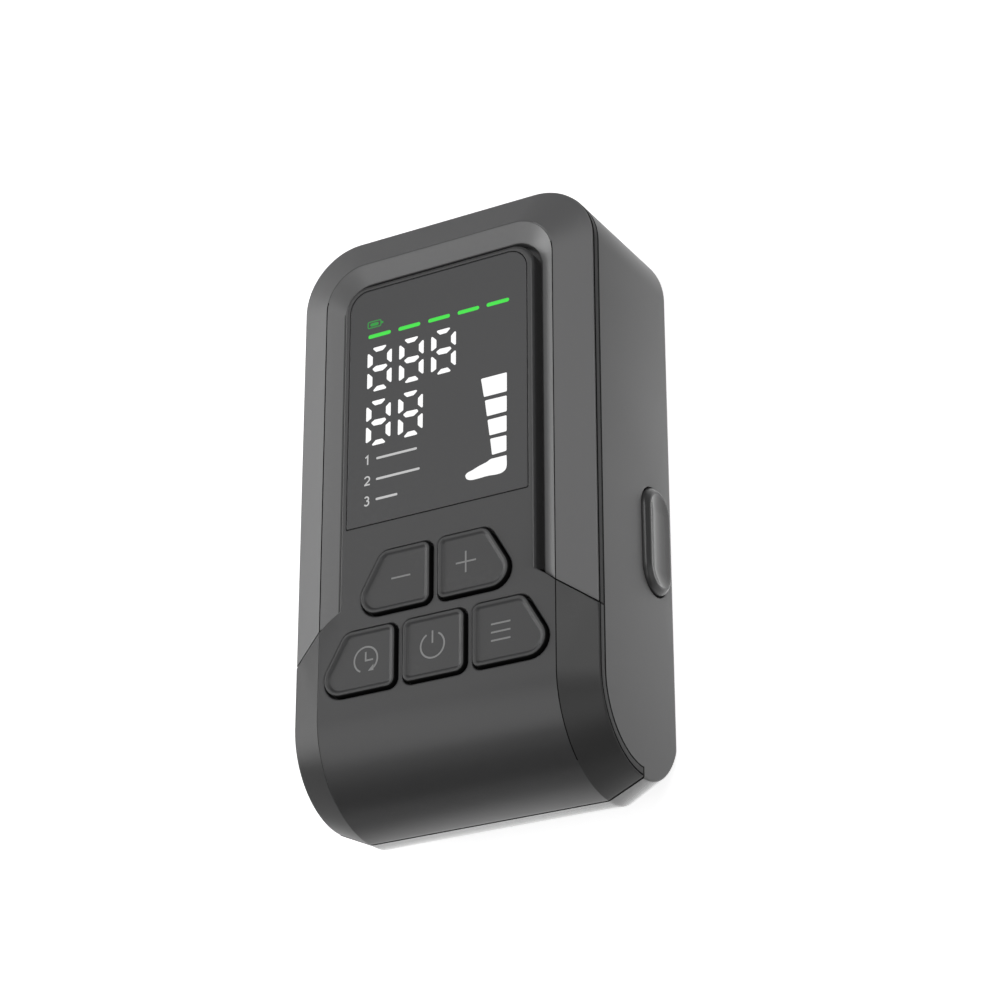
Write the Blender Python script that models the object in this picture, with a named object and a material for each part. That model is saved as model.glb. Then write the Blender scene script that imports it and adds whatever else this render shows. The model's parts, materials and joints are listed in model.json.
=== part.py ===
"""Air compression foot massager controller: a handheld case with a display, five keys and two
side buttons, holding a pump, five valves, two cells and a board. It lies on its back, display up.

Sizes are in millimetres and become metres when a mesh is made. x runs across the case, z up
from the back face, and v up the length from the bottom end, so that y = v - length / 2.
"""

import math

import bmesh
import bpy
import numpy as np
from mathutils import Vector

MM = 0.001

# Case
LENGTH = 148.0
HALF_WIDTH = 40.0
WALL = 2.4
GAP = 0.3  # clearance between two pieces that would touch
HALF_GAP = GAP / 2
ARC_STEPS = 6

# Front: the flat crest, the outer edge that its band slopes down to, and the parting line
CREST_Z = 42.4
EDGE_Z = 38.3
PARTING_Z = 36.0
CREST_HALF = 31.2
SWEEP_V = 24.0  # where the front starts to curl down to the bottom end
SWEEP_Z = CREST_Z - SWEEP_V  # centre of the curl, so that it ends at v = 0
SWEEP_STEPS = 8
SKIN = 2.2  # thickness of the front mouldings

# Plan outlines of the front, each as half width, top and corner radius
OUTER = (HALF_WIDTH, LENGTH, 15.6)
CREST = (CREST_HALF, 139.3, 10.5)
OPENING = (27.1, 134.6, 7.5)
PLATEAU = (26.0, 133.0, 6.0)
LENS = (24.3, 131.6, 5.0)
LENS_BOTTOM_V = 69.3
WINDOW = (22.8, 129.8, 3.0)
WINDOW_BOTTOM_V = 71.0
LENS_SEAT_Z = 41.0

# Seam between the frame's legs and the control panel: x against v
SEAM_X = (26.0, 28.6, 31.1, HALF_WIDTH)
SEAM_V = (49.1, 47.2, 45.0, 39.1)

# Rear casing: arcs that curl the bottom end under, at mid width and at the side walls
REAR_MID_RADIUS = 16.0
REAR_SIDE_RADIUS = 18.0
REAR_SIDE_V = 22.0
BACK_EDGE_RADIUS = 1.8

# Keys: corners (x, v) with their radii, right-hand ones; the left-hand ones mirror them
KEY_BOTTOM_V = 27.0
KEY_HEIGHT = 16.2
KEY_ROW_PITCH = 18.6
KEY_SLANT = KEY_HEIGHT / math.tan(math.radians(60))
KEY_TRAVEL = 0.8
KEY_CLEARANCE = 0.6
KEY_TOP_Z = CREST_Z + 0.9
UPPER_KEY_X = (0.6, 23.6)
LOWER_KEY_X = (9.75, 33.1)
POWER_KEY_HALF = 8.55

# Side buttons: centre, half length of the straight part, radius, proud height
SIDE_BUTTON_V = 64.6
SIDE_BUTTON_Z = 9.7
SIDE_BUTTON_STRAIGHT = 7.2
SIDE_BUTTON_RADIUS = 6.2
SIDE_BUTTON_PROUD = 1.5
SIDE_BUTTON_TRAVEL = 1.2
SIDE_BUTTON_FLANGE = (35.9, 37.1, 6.9)  # its two faces' x and its radius, inside the wall
SIDE_SWITCH_X = 33.0  # tip of the switch plunger

# Board under the panel
BOARD_Z = (31.4, 33.0)
BOARD_HALF = 27.5
BOARD_V = (21.0, 134.0)
BOARD_TONGUE = (8.0, 144.6)
BOARD_SCREWS = ((22.0, 65.3), (14.0, 22.3))
BOARD_BOSS_RADIUS = 2.3

# Case screws, bottom pair into the panel and top pair into the frame
CASE_SCREWS = ((31.0, 24.0), (31.5, 126.0))
REAR_BOSS_RADIUS = 4.2
FRONT_BOSS_RADIUS = 3.0
BOSS_JOINT_Z = 20.0
COUNTERBORE = (2.9, 7.0)
SCREW_HOLE_RADIUS = 1.45

# Cells
CELL_RADIUS = 9.2
CELL_X = 9.6
CELL_V = (16.4, 81.4)
CELL_Z = 13.2
TRAY_WALL = 1.4

# Pump: motor and head share one axis along x
PUMP_V = 101.0
PUMP_Z = 17.5
MOTOR_RADIUS = 12.0
MOTOR_X = (-28.0, 1.7)
HEAD_X = (2.0, 27.0)
HEAD_HALF = 12.5

# Valves and the manifold whose collar is the hose socket in the top end
VALVE_PITCH = 10.2
VALVE_Z = 10.8
SOCKET_Z = 11.0
MANIFOLD_V = 134.2
COLLAR_V = 139.2
COLLAR_END_V = LENGTH - 0.2
NOZZLE_PITCH = 7.6
BARB_X = 12.0
BARB_V = 136.7
BARB_TOP_Z = 20.8

# Charge port in the top end, on the board's tongue
PORT_HALF = 4.47
PORT_Z = (27.9, 31.1)
PORT_V = (138.4, 141.6, LENGTH - 0.4)  # back, floor of the opening, mouth

# Parts under the board
SENSOR_BOX = (-21.5, -14.5, 118.0, 125.0)
SENSOR_NOZZLE = (-18.0, 28.7)
SENSOR_NOZZLE_V = 128.2
BUZZER = (-15.0, 72.0)
CHIP_BOX = (4.0, 14.0, 55.0, 65.0)

SHELL_GREY = (0.185, 0.185, 0.187)
PANEL_GREY = (0.089, 0.089, 0.090)
LENS_GREY = (0.093, 0.093, 0.095)
BLACK = (0.012, 0.012, 0.013)
STEEL = (0.55, 0.55, 0.56)


def clear_scene():
    for obj in list(bpy.data.objects):
        bpy.data.objects.remove(obj, do_unlink=True)


def material(name, colour, roughness=0.5, metallic=0.0):
    made = bpy.data.materials.get(name) or bpy.data.materials.new(name)
    made.use_nodes = True
    shader = made.node_tree.nodes["Principled BSDF"]
    shader.inputs["Base Color"].default_value = (*colour, 1.0)
    shader.inputs["Roughness"].default_value = roughness
    shader.inputs["Metallic"].default_value = metallic
    return made


def place(x, v, z):
    """A point of the object's own measures, in metres."""
    return Vector((x, v - LENGTH / 2, z)) * MM


def link(name, bm, finish, origin=(0.0, LENGTH / 2, 0.0), smooth_angle=35.0):
    """Makes one object of a bmesh in metres, its origin at a point (x, v, z)."""
    bmesh.ops.recalc_face_normals(bm, faces=bm.faces)
    spot = place(*origin)
    bmesh.ops.translate(bm, verts=bm.verts, vec=-spot)
    mesh = bpy.data.meshes.new(name)
    bm.to_mesh(mesh)
    bm.free()
    mesh.shade_smooth()
    mesh.set_sharp_from_angle(angle=math.radians(smooth_angle))
    obj = bpy.data.objects.new(name, mesh)
    obj.location = spot
    if finish:
        obj.data.materials.append(finish)
    bpy.context.scene.collection.objects.link(obj)
    return obj


def loft(rings):
    """A closed solid through rings of equal length, each a list of points (x, v, z)."""
    bm = bmesh.new()
    loops = [[bm.verts.new(place(*point)) for point in ring] for ring in rings]
    count = len(rings[0])
    for low, high in zip(loops, loops[1:]):
        for i in range(count):
            j = (i + 1) % count
            bm.faces.new((low[i], low[j], high[j], high[i]))
    bm.faces.new(loops[0][::-1])
    bm.faces.new(loops[-1])
    return bm


def rounded(corners, radii, offset=0.0, steps=ARC_STEPS):
    """Points of a convex outline with rounded corners, counter-clockwise, grown by offset."""
    points = []
    count = len(corners)
    corners = [Vector(corner) for corner in corners]
    for i, corner in enumerate(corners):
        into = (corner - corners[i - 1]).normalized()
        out = (corners[(i + 1) % count] - corner).normalized()
        normal_in, normal_out = Vector((into.y, -into.x)), Vector((out.y, -out.x))
        reach = (normal_in + normal_out) / (1.0 + normal_in.dot(normal_out))
        radius = max(radii[i] + offset, 0.4)
        centre = corner + reach * (offset - radius)
        turn = math.atan2(into.cross(out), into.dot(out))
        start = math.atan2(normal_in.y, normal_in.x)
        for k in range(steps + 1):
            angle = start + turn * k / steps
            points.append((centre.x + radius * math.cos(angle), centre.y + radius * math.sin(angle)))
    return points


def circle(x, v, radius, sides):
    angles = [2 * math.pi * k / sides for k in range(sides)]
    return [(x + radius * math.cos(a), v + radius * math.sin(a)) for a in angles]


def box_outline(x0, x1, v0, v1, radius=0.4, steps=1):
    corners = [(x0, v0), (x1, v0), (x1, v1), (x0, v1)]
    return rounded(corners, [radius] * 4, steps=steps)


def stadium(centre, straight, radius, steps=ARC_STEPS):
    """An outline with two round ends, its straight sides along the first axis."""
    a, b = centre
    ends = ((a + straight, -math.pi / 2), (a - straight, math.pi / 2))
    points = []
    for middle, start in ends:
        for k in range(steps + 1):
            angle = start + math.pi * k / steps
            points.append((middle + radius * math.cos(angle), b + radius * math.sin(angle)))
    return points


def stack(levels):
    """A solid up z, of (outline in x and v, z) levels."""
    return loft([[(x, v, z) for x, v in outline] for outline, z in levels])


def along_v(levels):
    """A solid along the length, of (outline in x and z, v) levels."""
    return loft([[(x, v, z) for x, z in outline] for outline, v in levels])


def along_x(levels):
    """A solid across the case, of (outline in v and z, x) levels."""
    return loft([[(x, v, z) for v, z in outline] for outline, x in levels])


def prism(outline, low, high):
    return stack([(outline, low), (outline, high)])


def cut(target, bm, operation="DIFFERENCE"):
    """Applies one hidden helper solid to a piece."""
    helper = link(f"{target.name}_helper_{len(target.modifiers)}", bm, None)
    helper.hide_render = True
    helper.display_type = "WIRE"
    modifier = target.modifiers.new(operation.title(), "BOOLEAN")
    modifier.operation = operation
    modifier.object = helper


def join(target, bm):
    cut(target, bm, "UNION")


def seam_v(x):
    return float(np.interp(abs(x), SEAM_X, SEAM_V))


def arch_stations(leg_end):
    """Stations of an arch-shaped outline, right leg to left leg, as functions of its track.

    A track is (half width, top, corner radius); leg_end gives v at the foot of a leg.
    """

    def foot(side):
        return lambda half, top, radius: (side * half, leg_end(half))

    def corner(side, step):
        angle = math.pi / 2 * step / ARC_STEPS
        return lambda half, top, radius: (
            side * (half - radius + radius * math.cos(angle)),
            top - radius + radius * math.sin(angle),
        )

    right = [foot(1)] + [corner(1, step) for step in range(ARC_STEPS + 1)]
    left = [corner(-1, step) for step in reversed(range(ARC_STEPS + 1))] + [foot(-1)]
    return right + left


def arch(section, leg_end):
    """A solid whose section, a loop of (track, z), runs round an arch-shaped outline."""
    stations = arch_stations(leg_end)
    return loft([[(*station(*track), z) for track, z in section] for station in stations])


def grown(track, amount):
    half, top, radius = track
    return (half + amount, top + amount, radius + amount)


def arch_outline(track, bottom, bottom_radius=0.4):
    """A plan outline with a straight bottom, square at its foot and round at its top."""
    half, top, radius = track
    corners = [(-half, bottom), (half, bottom), (half, top), (-half, top)]
    return rounded(corners, [bottom_radius, bottom_radius, radius, radius])


def sweep_radius(x):
    """Radius of the front's curl at x: full on the crest, less down the sloping band."""
    edge_radius = EDGE_Z - SWEEP_Z
    return float(np.interp(abs(x), (CREST_HALF, HALF_WIDTH), (SWEEP_V, edge_radius)))


def curl(radius, end_z):
    """Points (v, z) of a quarter turn from the front face down to end_z."""
    last = math.acos((end_z - SWEEP_Z) / radius)
    angles = [last * k / SWEEP_STEPS for k in range(SWEEP_STEPS + 1)]
    return [(SWEEP_V - radius * math.sin(a), SWEEP_Z + radius * math.cos(a)) for a in angles]


def panel_wrap():
    """The panel below the seam: full width, curled down to the bottom end."""
    strip = PARTING_Z + HALF_GAP - SWEEP_Z
    inner_x = (CREST_HALF, HALF_WIDTH - 3.4, HALF_WIDTH - WALL, HALF_WIDTH)
    inner_radius = (SWEEP_V - SKIN, sweep_radius(HALF_WIDTH - 3.4) - SKIN, strip, strip)
    half = [0.0, *SEAM_X[:2], CREST_HALF, *inner_x[1:]]
    rings = []
    for x in [-x for x in reversed(half[1:])] + half:
        end = seam_v(x) - HALF_GAP
        outer = curl(sweep_radius(x), SWEEP_Z + HALF_GAP)
        inner = curl(float(np.interp(abs(x), inner_x, inner_radius)), SWEEP_Z + HALF_GAP)
        profile = [(end, outer[0][1])] + outer + inner[::-1] + [(end, inner[0][1])]
        rings.append([(x, v, z) for v, z in profile])
    return loft(rings)


def key_shapes():
    """Name to (corners, radii) of each key opening."""

    def slanted(span, bottom, side):
        inner, outer = span
        top = bottom + KEY_HEIGHT
        corners = [(inner, bottom), (outer, bottom), (outer - KEY_SLANT, top), (inner, top)]
        radii = [2.4, 4.9, 3.6, 2.4]
        if side < 0:
            corners = [(-x, v) for x, v in corners][::-1]
            radii = radii[::-1]
        return corners, radii

    upper = KEY_BOTTOM_V + KEY_ROW_PITCH
    low, high, half = KEY_BOTTOM_V, KEY_BOTTOM_V + KEY_HEIGHT, POWER_KEY_HALF
    return {
        "minus_key": slanted(UPPER_KEY_X, upper, -1),
        "plus_key": slanted(UPPER_KEY_X, upper, 1),
        "timer_key": slanted(LOWER_KEY_X, low, -1),
        "power_key": ([(-half, low), (half, low), (half, high), (-half, high)], [2.6] * 4),
        "mode_key": slanted(LOWER_KEY_X, low, 1),
    }


def key_centre(name):
    """Middle of a key, where its stem and its switch stand."""
    middles = {"minus_key": (-9.5, 1), "plus_key": (9.5, 1), "timer_key": (-19.4, 0)}
    middles |= {"power_key": (0.0, 0), "mode_key": (19.4, 0)}
    x, row = middles[name]
    return x, KEY_BOTTOM_V + KEY_HEIGHT / 2 + row * KEY_ROW_PITCH


def make_frame(finish):
    """The arch-shaped bezel round the display, with a tongue that locates it in the casing."""
    inset, tongue = grown(OUTER, -4.0), grown(OUTER, -2.8)
    lip_z, tongue_z = 38.3, 34.4
    section = [
        (OUTER, PARTING_Z + HALF_GAP),
        (OUTER, EDGE_Z),
        (CREST, CREST_Z),
        (OPENING, CREST_Z - 2.5),
        (OPENING, lip_z),
        (grown(OPENING, SKIN), lip_z),
        (CREST, CREST_Z - 2.4),
        (inset, 37.7),
        (inset, tongue_z),
        (tongue, tongue_z),
        (tongue, PARTING_Z + HALF_GAP),
    ]
    frame = link("bezel_frame", arch(section, lambda x: seam_v(x) + HALF_GAP), finish)
    x, v = CASE_SCREWS[1]
    for side in (-1, 1):
        join(frame, prism(circle(side * x, v, FRONT_BOSS_RADIUS, 16), BOSS_JOINT_Z + GAP, 40.4))
        cut(frame, prism(circle(side * x, v, SCREW_HOLE_RADIUS, 12), BOSS_JOINT_Z - 1, 31.0))
    return frame


def make_panel(finish):
    """The control panel: display plateau, skirt and flange under the frame, and the curl."""
    panel = link("control_panel", panel_wrap(), finish)
    join(panel, prism(arch_outline(PLATEAU, 41.0), CREST_Z - SKIN, CREST_Z))
    skirt, flange, flange_z = grown(PLATEAU, -1.8), (28.2, 135.7, 7.5), (36.4, 37.9)
    top = CREST_Z - SKIN + 0.4
    section = [(PLATEAU, top), (PLATEAU, flange_z[1]), (flange, flange_z[1])]
    section += [(flange, flange_z[0]), (skirt, flange_z[0]), (skirt, top)]
    join(panel, arch(section, lambda x: SEAM_V[0] + GAP))
    for x, v in BOARD_SCREWS:
        for side in (-1, 1):
            join(panel, prism(circle(side * x, v, BOARD_BOSS_RADIUS, 12), BOARD_Z[1] + GAP, 40.8))
            cut(panel, prism(circle(side * x, v, 1.15, 10), BOARD_Z[1] - 1, 38.6))
    x, v = CASE_SCREWS[0]
    for side in (-1, 1):
        join(panel, prism(circle(side * x, v, FRONT_BOSS_RADIUS, 16), BOSS_JOINT_Z + GAP, 41.2))
        cut(panel, prism(circle(side * x, v, SCREW_HOLE_RADIUS, 12), BOSS_JOINT_Z - 1, 31.0))
    cut(panel, prism(arch_outline(grown(LENS, 0.2), LENS_BOTTOM_V - 0.2), LENS_SEAT_Z, 46.0))
    cut(panel, prism(arch_outline(WINDOW, WINDOW_BOTTOM_V, 3.0), 35.0, 46.0))
    for corners, radii in key_shapes().values():
        cut(panel, prism(rounded(corners, radii), 35.0, 46.0))
    return panel


def make_lens(finish):
    outline = arch_outline(LENS, LENS_BOTTOM_V)
    return link("display_lens", prism(outline, LENS_SEAT_Z + GAP, CREST_Z), finish)


def make_key(name, corners, radii, finish):
    """A key cap: flange under the panel, straight skirt, raised rim and a dished top."""
    steps = [(0.4, 38.6), (0.4, 39.8), (-KEY_CLEARANCE, 39.8), (-KEY_CLEARANCE, KEY_TOP_Z - 0.4)]
    steps += [(-0.85, KEY_TOP_Z - 0.1), (-1.2, KEY_TOP_Z), (-1.5, KEY_TOP_Z - 0.05)]
    steps += [(-2.7, KEY_TOP_Z - 0.5)]
    levels = [(rounded(corners, radii, offset, steps=4), z) for offset, z in steps]
    centre = key_centre(name)
    stem_z = (key_switch_top() + GAP + KEY_TRAVEL, 38.9)
    key = link(name, stack(levels), finish, origin=(*centre, CREST_Z))
    join(key, prism(circle(*centre, 1.6, 10), *stem_z))
    return key


def key_switch_top():
    return BOARD_Z[1] + GAP + 3.5


def make_key_switch(name, finish):
    x, v = key_centre(name)
    base, half = BOARD_Z[1] + GAP, 3.0
    square = [(half, 0), (half, half), (0, half), (-half, half)]
    square += [(-a, -b) for a, b in square]
    body = [(x + a, v + b) for a, b in square]
    levels = [(body, base), (body, base + 2.7)]
    levels += [(circle(x, v, 1.6, 8), base + 2.7), (circle(x, v, 1.6, 8), key_switch_top())]
    return link(name.replace("key", "switch"), stack(levels), finish)


def rear_ring(z, inset=0.0):
    """The casing's plan outline at height z, moved in by a wall thickness."""
    fillet = 0.0
    if z < BACK_EDGE_RADIUS:
        rise = BACK_EDGE_RADIUS - z
        fillet = BACK_EDGE_RADIUS - math.sqrt(BACK_EDGE_RADIUS**2 - rise**2)
    half, top, radius = grown(OUTER, -inset - fillet)

    def bottom(centre_v, arc_radius, end):
        drop = max(arc_radius - z, 0.0)
        reach = arc_radius - inset
        return centre_v - math.sqrt(max(reach**2 - drop**2, 0.0)) if drop else end + inset

    middle = bottom(REAR_MID_RADIUS, REAR_MID_RADIUS, 0.0)
    side_end = REAR_SIDE_V - REAR_SIDE_RADIUS
    side = bottom(REAR_SIDE_V, REAR_SIDE_RADIUS, side_end) + 0.3 * inset
    right = [(CREST_HALF, middle), (half, side)]
    for k in range(ARC_STEPS + 1):
        angle = math.pi / 2 * k / ARC_STEPS
        right.append((half - radius + radius * math.cos(angle), top - radius + radius * math.sin(angle)))
    return right + [(-x, v) for x, v in reversed(right)]


def rear_levels(floor, inset):
    heights = [floor, *(z for z in (0.25, 0.85, 1.8, 3.6, 6.0, 9.0, 12.5, 16.0, 18.0) if z > floor)]
    return [(rear_ring(z, inset), z) for z in [*heights, CREST_Z]]


def parting_side():
    """Side view (v, z) of the space above the parting line."""
    end_z = SWEEP_Z - HALF_GAP
    arc = curl(PARTING_Z - HALF_GAP - SWEEP_Z, end_z)
    return [(-5.0, end_z), *arc[::-1], (LENGTH + 5, arc[0][1]), (LENGTH + 5, 60.0), (-5.0, 60.0)]


def make_rear(finish):
    """The rear casing: a tray with screw bosses, switch seats and the end wall's openings."""
    rear = link("rear_casing", stack(rear_levels(0.0, 0.0)), finish)
    cut(rear, stack(rear_levels(WALL, WALL)))
    side = parting_side()
    cut(rear, along_x([(side, -HALF_WIDTH - 5), (side, HALF_WIDTH + 5)]))
    for x, v in CASE_SCREWS:
        for turn in (-1, 1):
            spot = (turn * x, v)
            join(rear, prism(circle(*spot, REAR_BOSS_RADIUS, 16), WALL - 1.2, BOSS_JOINT_Z))
            cut(rear, prism(circle(*spot, COUNTERBORE[0], 16), -1.0, COUNTERBORE[1]))
            cut(rear, prism(circle(*spot, SCREW_HOLE_RADIUS, 12), 1.0, BOSS_JOINT_Z + 1))
    spot = (SIDE_BUTTON_V, SIDE_BUTTON_Z)
    slot = stadium(spot, SIDE_BUTTON_STRAIGHT, SIDE_BUTTON_RADIUS + GAP)
    back, front, low, high = 23.0, 31.8, 5.4, 15.0
    seat = [(back, WALL - 0.4), (front, WALL - 0.4), (front, low), (26.2, low), (26.2, high), (back, high)]
    for turn in (-1, 1):
        cut(rear, along_x([(slot, turn * 35.5), (slot, turn * 43.0)]))
        outline = [(turn * x, z) for x, z in seat]
        join(rear, along_v([(outline, SIDE_BUTTON_V - 5), (outline, SIDE_BUTTON_V + 5)]))
    collar = stadium((0.0, SOCKET_Z), 15.2, 5.8 + GAP)
    cut(rear, along_v([(collar, LENGTH - 6), (collar, LENGTH + 2)]))
    middle_z = sum(PORT_Z) / 2
    port = stadium((0.0, middle_z), PORT_HALF - 1.6, 1.6 + GAP, steps=4)
    cut(rear, along_v([(port, LENGTH - 6), (port, LENGTH + 2)]))
    return rear


def make_side_button(name, side, finish):
    """A side button: stem, flange inside the wall, sloped rim and a concave finger dish."""
    face = HALF_WIDTH + SIDE_BUTTON_PROUD
    stem_end = SIDE_SWITCH_X + GAP + SIDE_BUTTON_TRAVEL
    straight, radius = SIDE_BUTTON_STRAIGHT, SIDE_BUTTON_RADIUS
    inner, outer, flange = SIDE_BUTTON_FLANGE
    steps = [(stem_end, 2.0, 1.8), (inner, 2.0, 1.8), (inner, straight, flange)]
    steps += [(outer, straight, flange), (outer, straight, radius), (HALF_WIDTH + 0.3, straight, radius)]
    steps += [(face, straight, radius - 1.0), (face, straight, radius - 1.4)]
    steps += [(face - 0.7, straight, radius - 2.5), (face - 1.1, straight, radius - 4.3)]
    spot = (SIDE_BUTTON_V, SIDE_BUTTON_Z)
    levels = [(stadium(spot, s, r), side * x) for x, s, r in steps]
    origin = (side * HALF_WIDTH, *spot)
    return link(name, along_x(levels), finish, origin=origin)


def make_side_switch(name, side, finish):
    v, z, half = SIDE_BUTTON_V, SIDE_BUTTON_Z, 4.0
    square = [(half, 0), (half, half), (0, half), (-half, half)]
    square += [(-a, -b) for a, b in square]
    body = [(v + a, z + b) for a, b in square]
    tip = circle(v, z, 1.8, 8)
    steps = [(body, 26.5), (body, 31.5), (tip, 31.5), (tip, SIDE_SWITCH_X)]
    return link(name, along_x([(outline, side * x) for outline, x in steps]), finish)


def make_board(finish):
    (low, high), (foot, top), half = BOARD_Z, BOARD_V, BOARD_HALF
    tongue, tip = BOARD_TONGUE
    outline = [(-half, foot), (half, foot), (half, top), (tongue, top), (tongue, tip)]
    outline += [(-tongue, tip), (-tongue, top), (-half, top)]
    board = link("main_board", prism(outline, low, high), finish)
    for x, v in BOARD_SCREWS:
        for side in (-1, 1):
            cut(board, prism(circle(side * x, v, 1.3, 10), low - 1, high + 1))
    return board


def make_display(finish):
    outline = arch_outline((23.5, 130.4, 4.6), 70.0)
    inner = arch_outline((22.3, 129.2, 3.4), 71.2)
    top, glass = 39.8, 39.3
    levels = [(outline, BOARD_Z[1] + GAP), (outline, top), (inner, top), (inner, glass)]
    return link("display_module", stack(levels), finish)


def screw(name, x, v, head_z, tip_z, head_radius, shaft_radius, finish):
    """A screw driven up z: a low domed head with a cross recess, then its shaft."""
    rise = 1.8 * head_radius / 2.5
    sides = 16
    steps = [(head_radius * 0.62, head_z), (head_radius, head_z + 0.35 * rise)]
    steps += [(head_radius, head_z + rise), (shaft_radius, head_z + rise)]
    steps += [(shaft_radius, tip_z - shaft_radius), (shaft_radius * 0.45, tip_z)]
    made = link(name, stack([(circle(x, v, r, sides), z) for r, z in steps]), finish)
    arm, width = head_radius * 0.5, head_radius * 0.12
    cross = [(arm, width), (width, width), (width, arm), (-width, arm), (-width, width)]
    cross += [(-arm, width)]
    cross += [(-a, -b) for a, b in cross]
    recess = [(x + a, v + b) for a, b in cross]
    cut(made, prism(recess, head_z - 0.5, head_z + 0.6 * rise))
    return made


def make_screws(finish):
    for name, (x, v) in zip(("bottom", "top"), CASE_SCREWS):
        for side, hand in ((-1, "left"), (1, "right")):
            screw(f"case_screw_{name}_{hand}", side * x, v, 4.9, 28.0, 2.5, 1.2, finish)
    for name, (x, v) in zip(("upper", "lower"), BOARD_SCREWS):
        for side, hand in ((-1, "left"), (1, "right")):
            head = BOARD_Z[0] - GAP - 1.3
            screw(f"board_screw_{name}_{hand}", side * x, v, head, 37.4, 1.8, 0.9, finish)


def make_cells(sleeve, tray_finish):
    low, high = CELL_V
    for side, hand in ((-1, "left"), (1, "right")):
        spot = (side * CELL_X, CELL_Z)
        steps = [(CELL_RADIUS - 0.5, low), (CELL_RADIUS, low + 0.5), (CELL_RADIUS, high - 1.3)]
        steps += [(CELL_RADIUS - 0.5, high - 0.8), (2.8, high - 0.8), (2.8, high)]
        levels = [(circle(*spot, r, 20), v) for r, v in steps]
        link(f"battery_cell_{hand}", along_v(levels), sleeve)
    half = CELL_X + CELL_RADIUS + 0.6
    floor, top = CELL_Z - CELL_RADIUS - GAP, 12.0
    inner = box_outline(-half, half, low - GAP, high + GAP)
    wall = TRAY_WALL
    outer = box_outline(-half - wall, half + wall, low - GAP - wall, high + GAP + wall)
    levels = [(outer, WALL + GAP), (outer, top), (inner, top), (inner, floor)]
    link("battery_tray", stack(levels), tray_finish)


def make_pump(metal, plastic, soft):
    spot = (PUMP_V, PUMP_Z)
    first, last = MOTOR_X
    steps = [(3.5, first - 1.6), (3.5, first), (MOTOR_RADIUS - 1, first), (MOTOR_RADIUS, first + 1)]
    steps += [(MOTOR_RADIUS, last)]
    levels = [(circle(*spot, r, 24), x) for r, x in steps]
    link("pump_motor", along_x(levels), metal)
    reach, (start, end) = HEAD_HALF, HEAD_X
    neck = reach - 1.0
    outline = box_outline(PUMP_V - reach, PUMP_V + reach, PUMP_Z - reach, PUMP_Z + reach, 3.0, 3)
    groove = box_outline(PUMP_V - neck, PUMP_V + neck, PUMP_Z - neck, PUMP_Z + neck, 2.4, 3)
    levels = [(outline, start), (outline, end - 6), (groove, end - 6), (groove, end - 5)]
    head = link("pump_head", along_x([*levels, (outline, end - 5), (outline, end)]), plastic)
    nozzle = circle(20.0, 24.0, 1.7, 10)
    join(head, along_v([(nozzle, PUMP_V + reach - 1), (nozzle, PUMP_V + reach + 4)]))
    hold, foot = MOTOR_RADIUS + GAP, WALL + GAP
    side, top = 11.0, PUMP_Z - 2.0
    swing = math.asin((PUMP_Z - top) / hold)
    arc = [math.pi + swing + (math.pi - 2 * swing) * k / 10 for k in range(11)]
    cradle = [(PUMP_V + hold * math.cos(a), PUMP_Z + hold * math.sin(a)) for a in arc]
    outline = [(PUMP_V - side - 2.8, top), *cradle, (PUMP_V + side + 2.8, top)]
    outline += [(PUMP_V + side + 2.8, foot), (PUMP_V - side - 2.8, foot)]
    link("pump_cradle_left", along_x([(outline, -24.0), (outline, -17.0)]), soft)
    pad = box_outline(6.0, 23.0, PUMP_V - 9, PUMP_V + 9, radius=2.0, steps=3)
    link("pump_cradle_right", prism(pad, foot, PUMP_Z - reach - GAP), soft)


def make_valves(body, plastic):
    start, end = 117.6, MANIFOLD_V - GAP
    for i in range(5):
        x = (i - 2) * VALVE_PITCH
        coil = box_outline(x - 4.1, x + 4.1, VALVE_Z - 4.8, VALVE_Z + 4.8, radius=0.8)
        block = box_outline(x - 4.8, x + 4.8, VALVE_Z - 5.5, VALVE_Z + 5.5, radius=0.8)
        levels = [(coil, start), (coil, start + 7), (block, start + 7), (block, end)]
        link(f"air_valve_{i + 1}", along_v(levels), body)
    spot = (0.0, SOCKET_Z)
    rings = [(stadium(spot, 19.3, 6.2), MANIFOLD_V), (stadium(spot, 19.3, 6.2), COLLAR_V)]
    rings += [(stadium(spot, 15.2, 5.8), COLLAR_V), (stadium(spot, 15.2, 5.8), COLLAR_END_V)]
    rings += [(stadium(spot, 15.2, 4.2), COLLAR_END_V), (stadium(spot, 15.2, 4.2), COLLAR_V + 0.4)]
    manifold = link("air_manifold", along_v(rings), plastic)
    for i in range(5):
        nozzle = circle((i - 2) * NOZZLE_PITCH, SOCKET_Z, 1.7, 10)
        tip = circle((i - 2) * NOZZLE_PITCH, SOCKET_Z, 1.3, 10)
        join(manifold, along_v([(nozzle, COLLAR_V), (nozzle, COLLAR_V + 3.6), (tip, COLLAR_V + 4.2)]))
    for x, radius in ((BARB_X, 1.7), (-BARB_X, 1.2)):
        barb = circle(x, BARB_V, radius, 10)
        join(manifold, prism(barb, SOCKET_Z + 5.0, BARB_TOP_Z))
    return manifold


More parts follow.
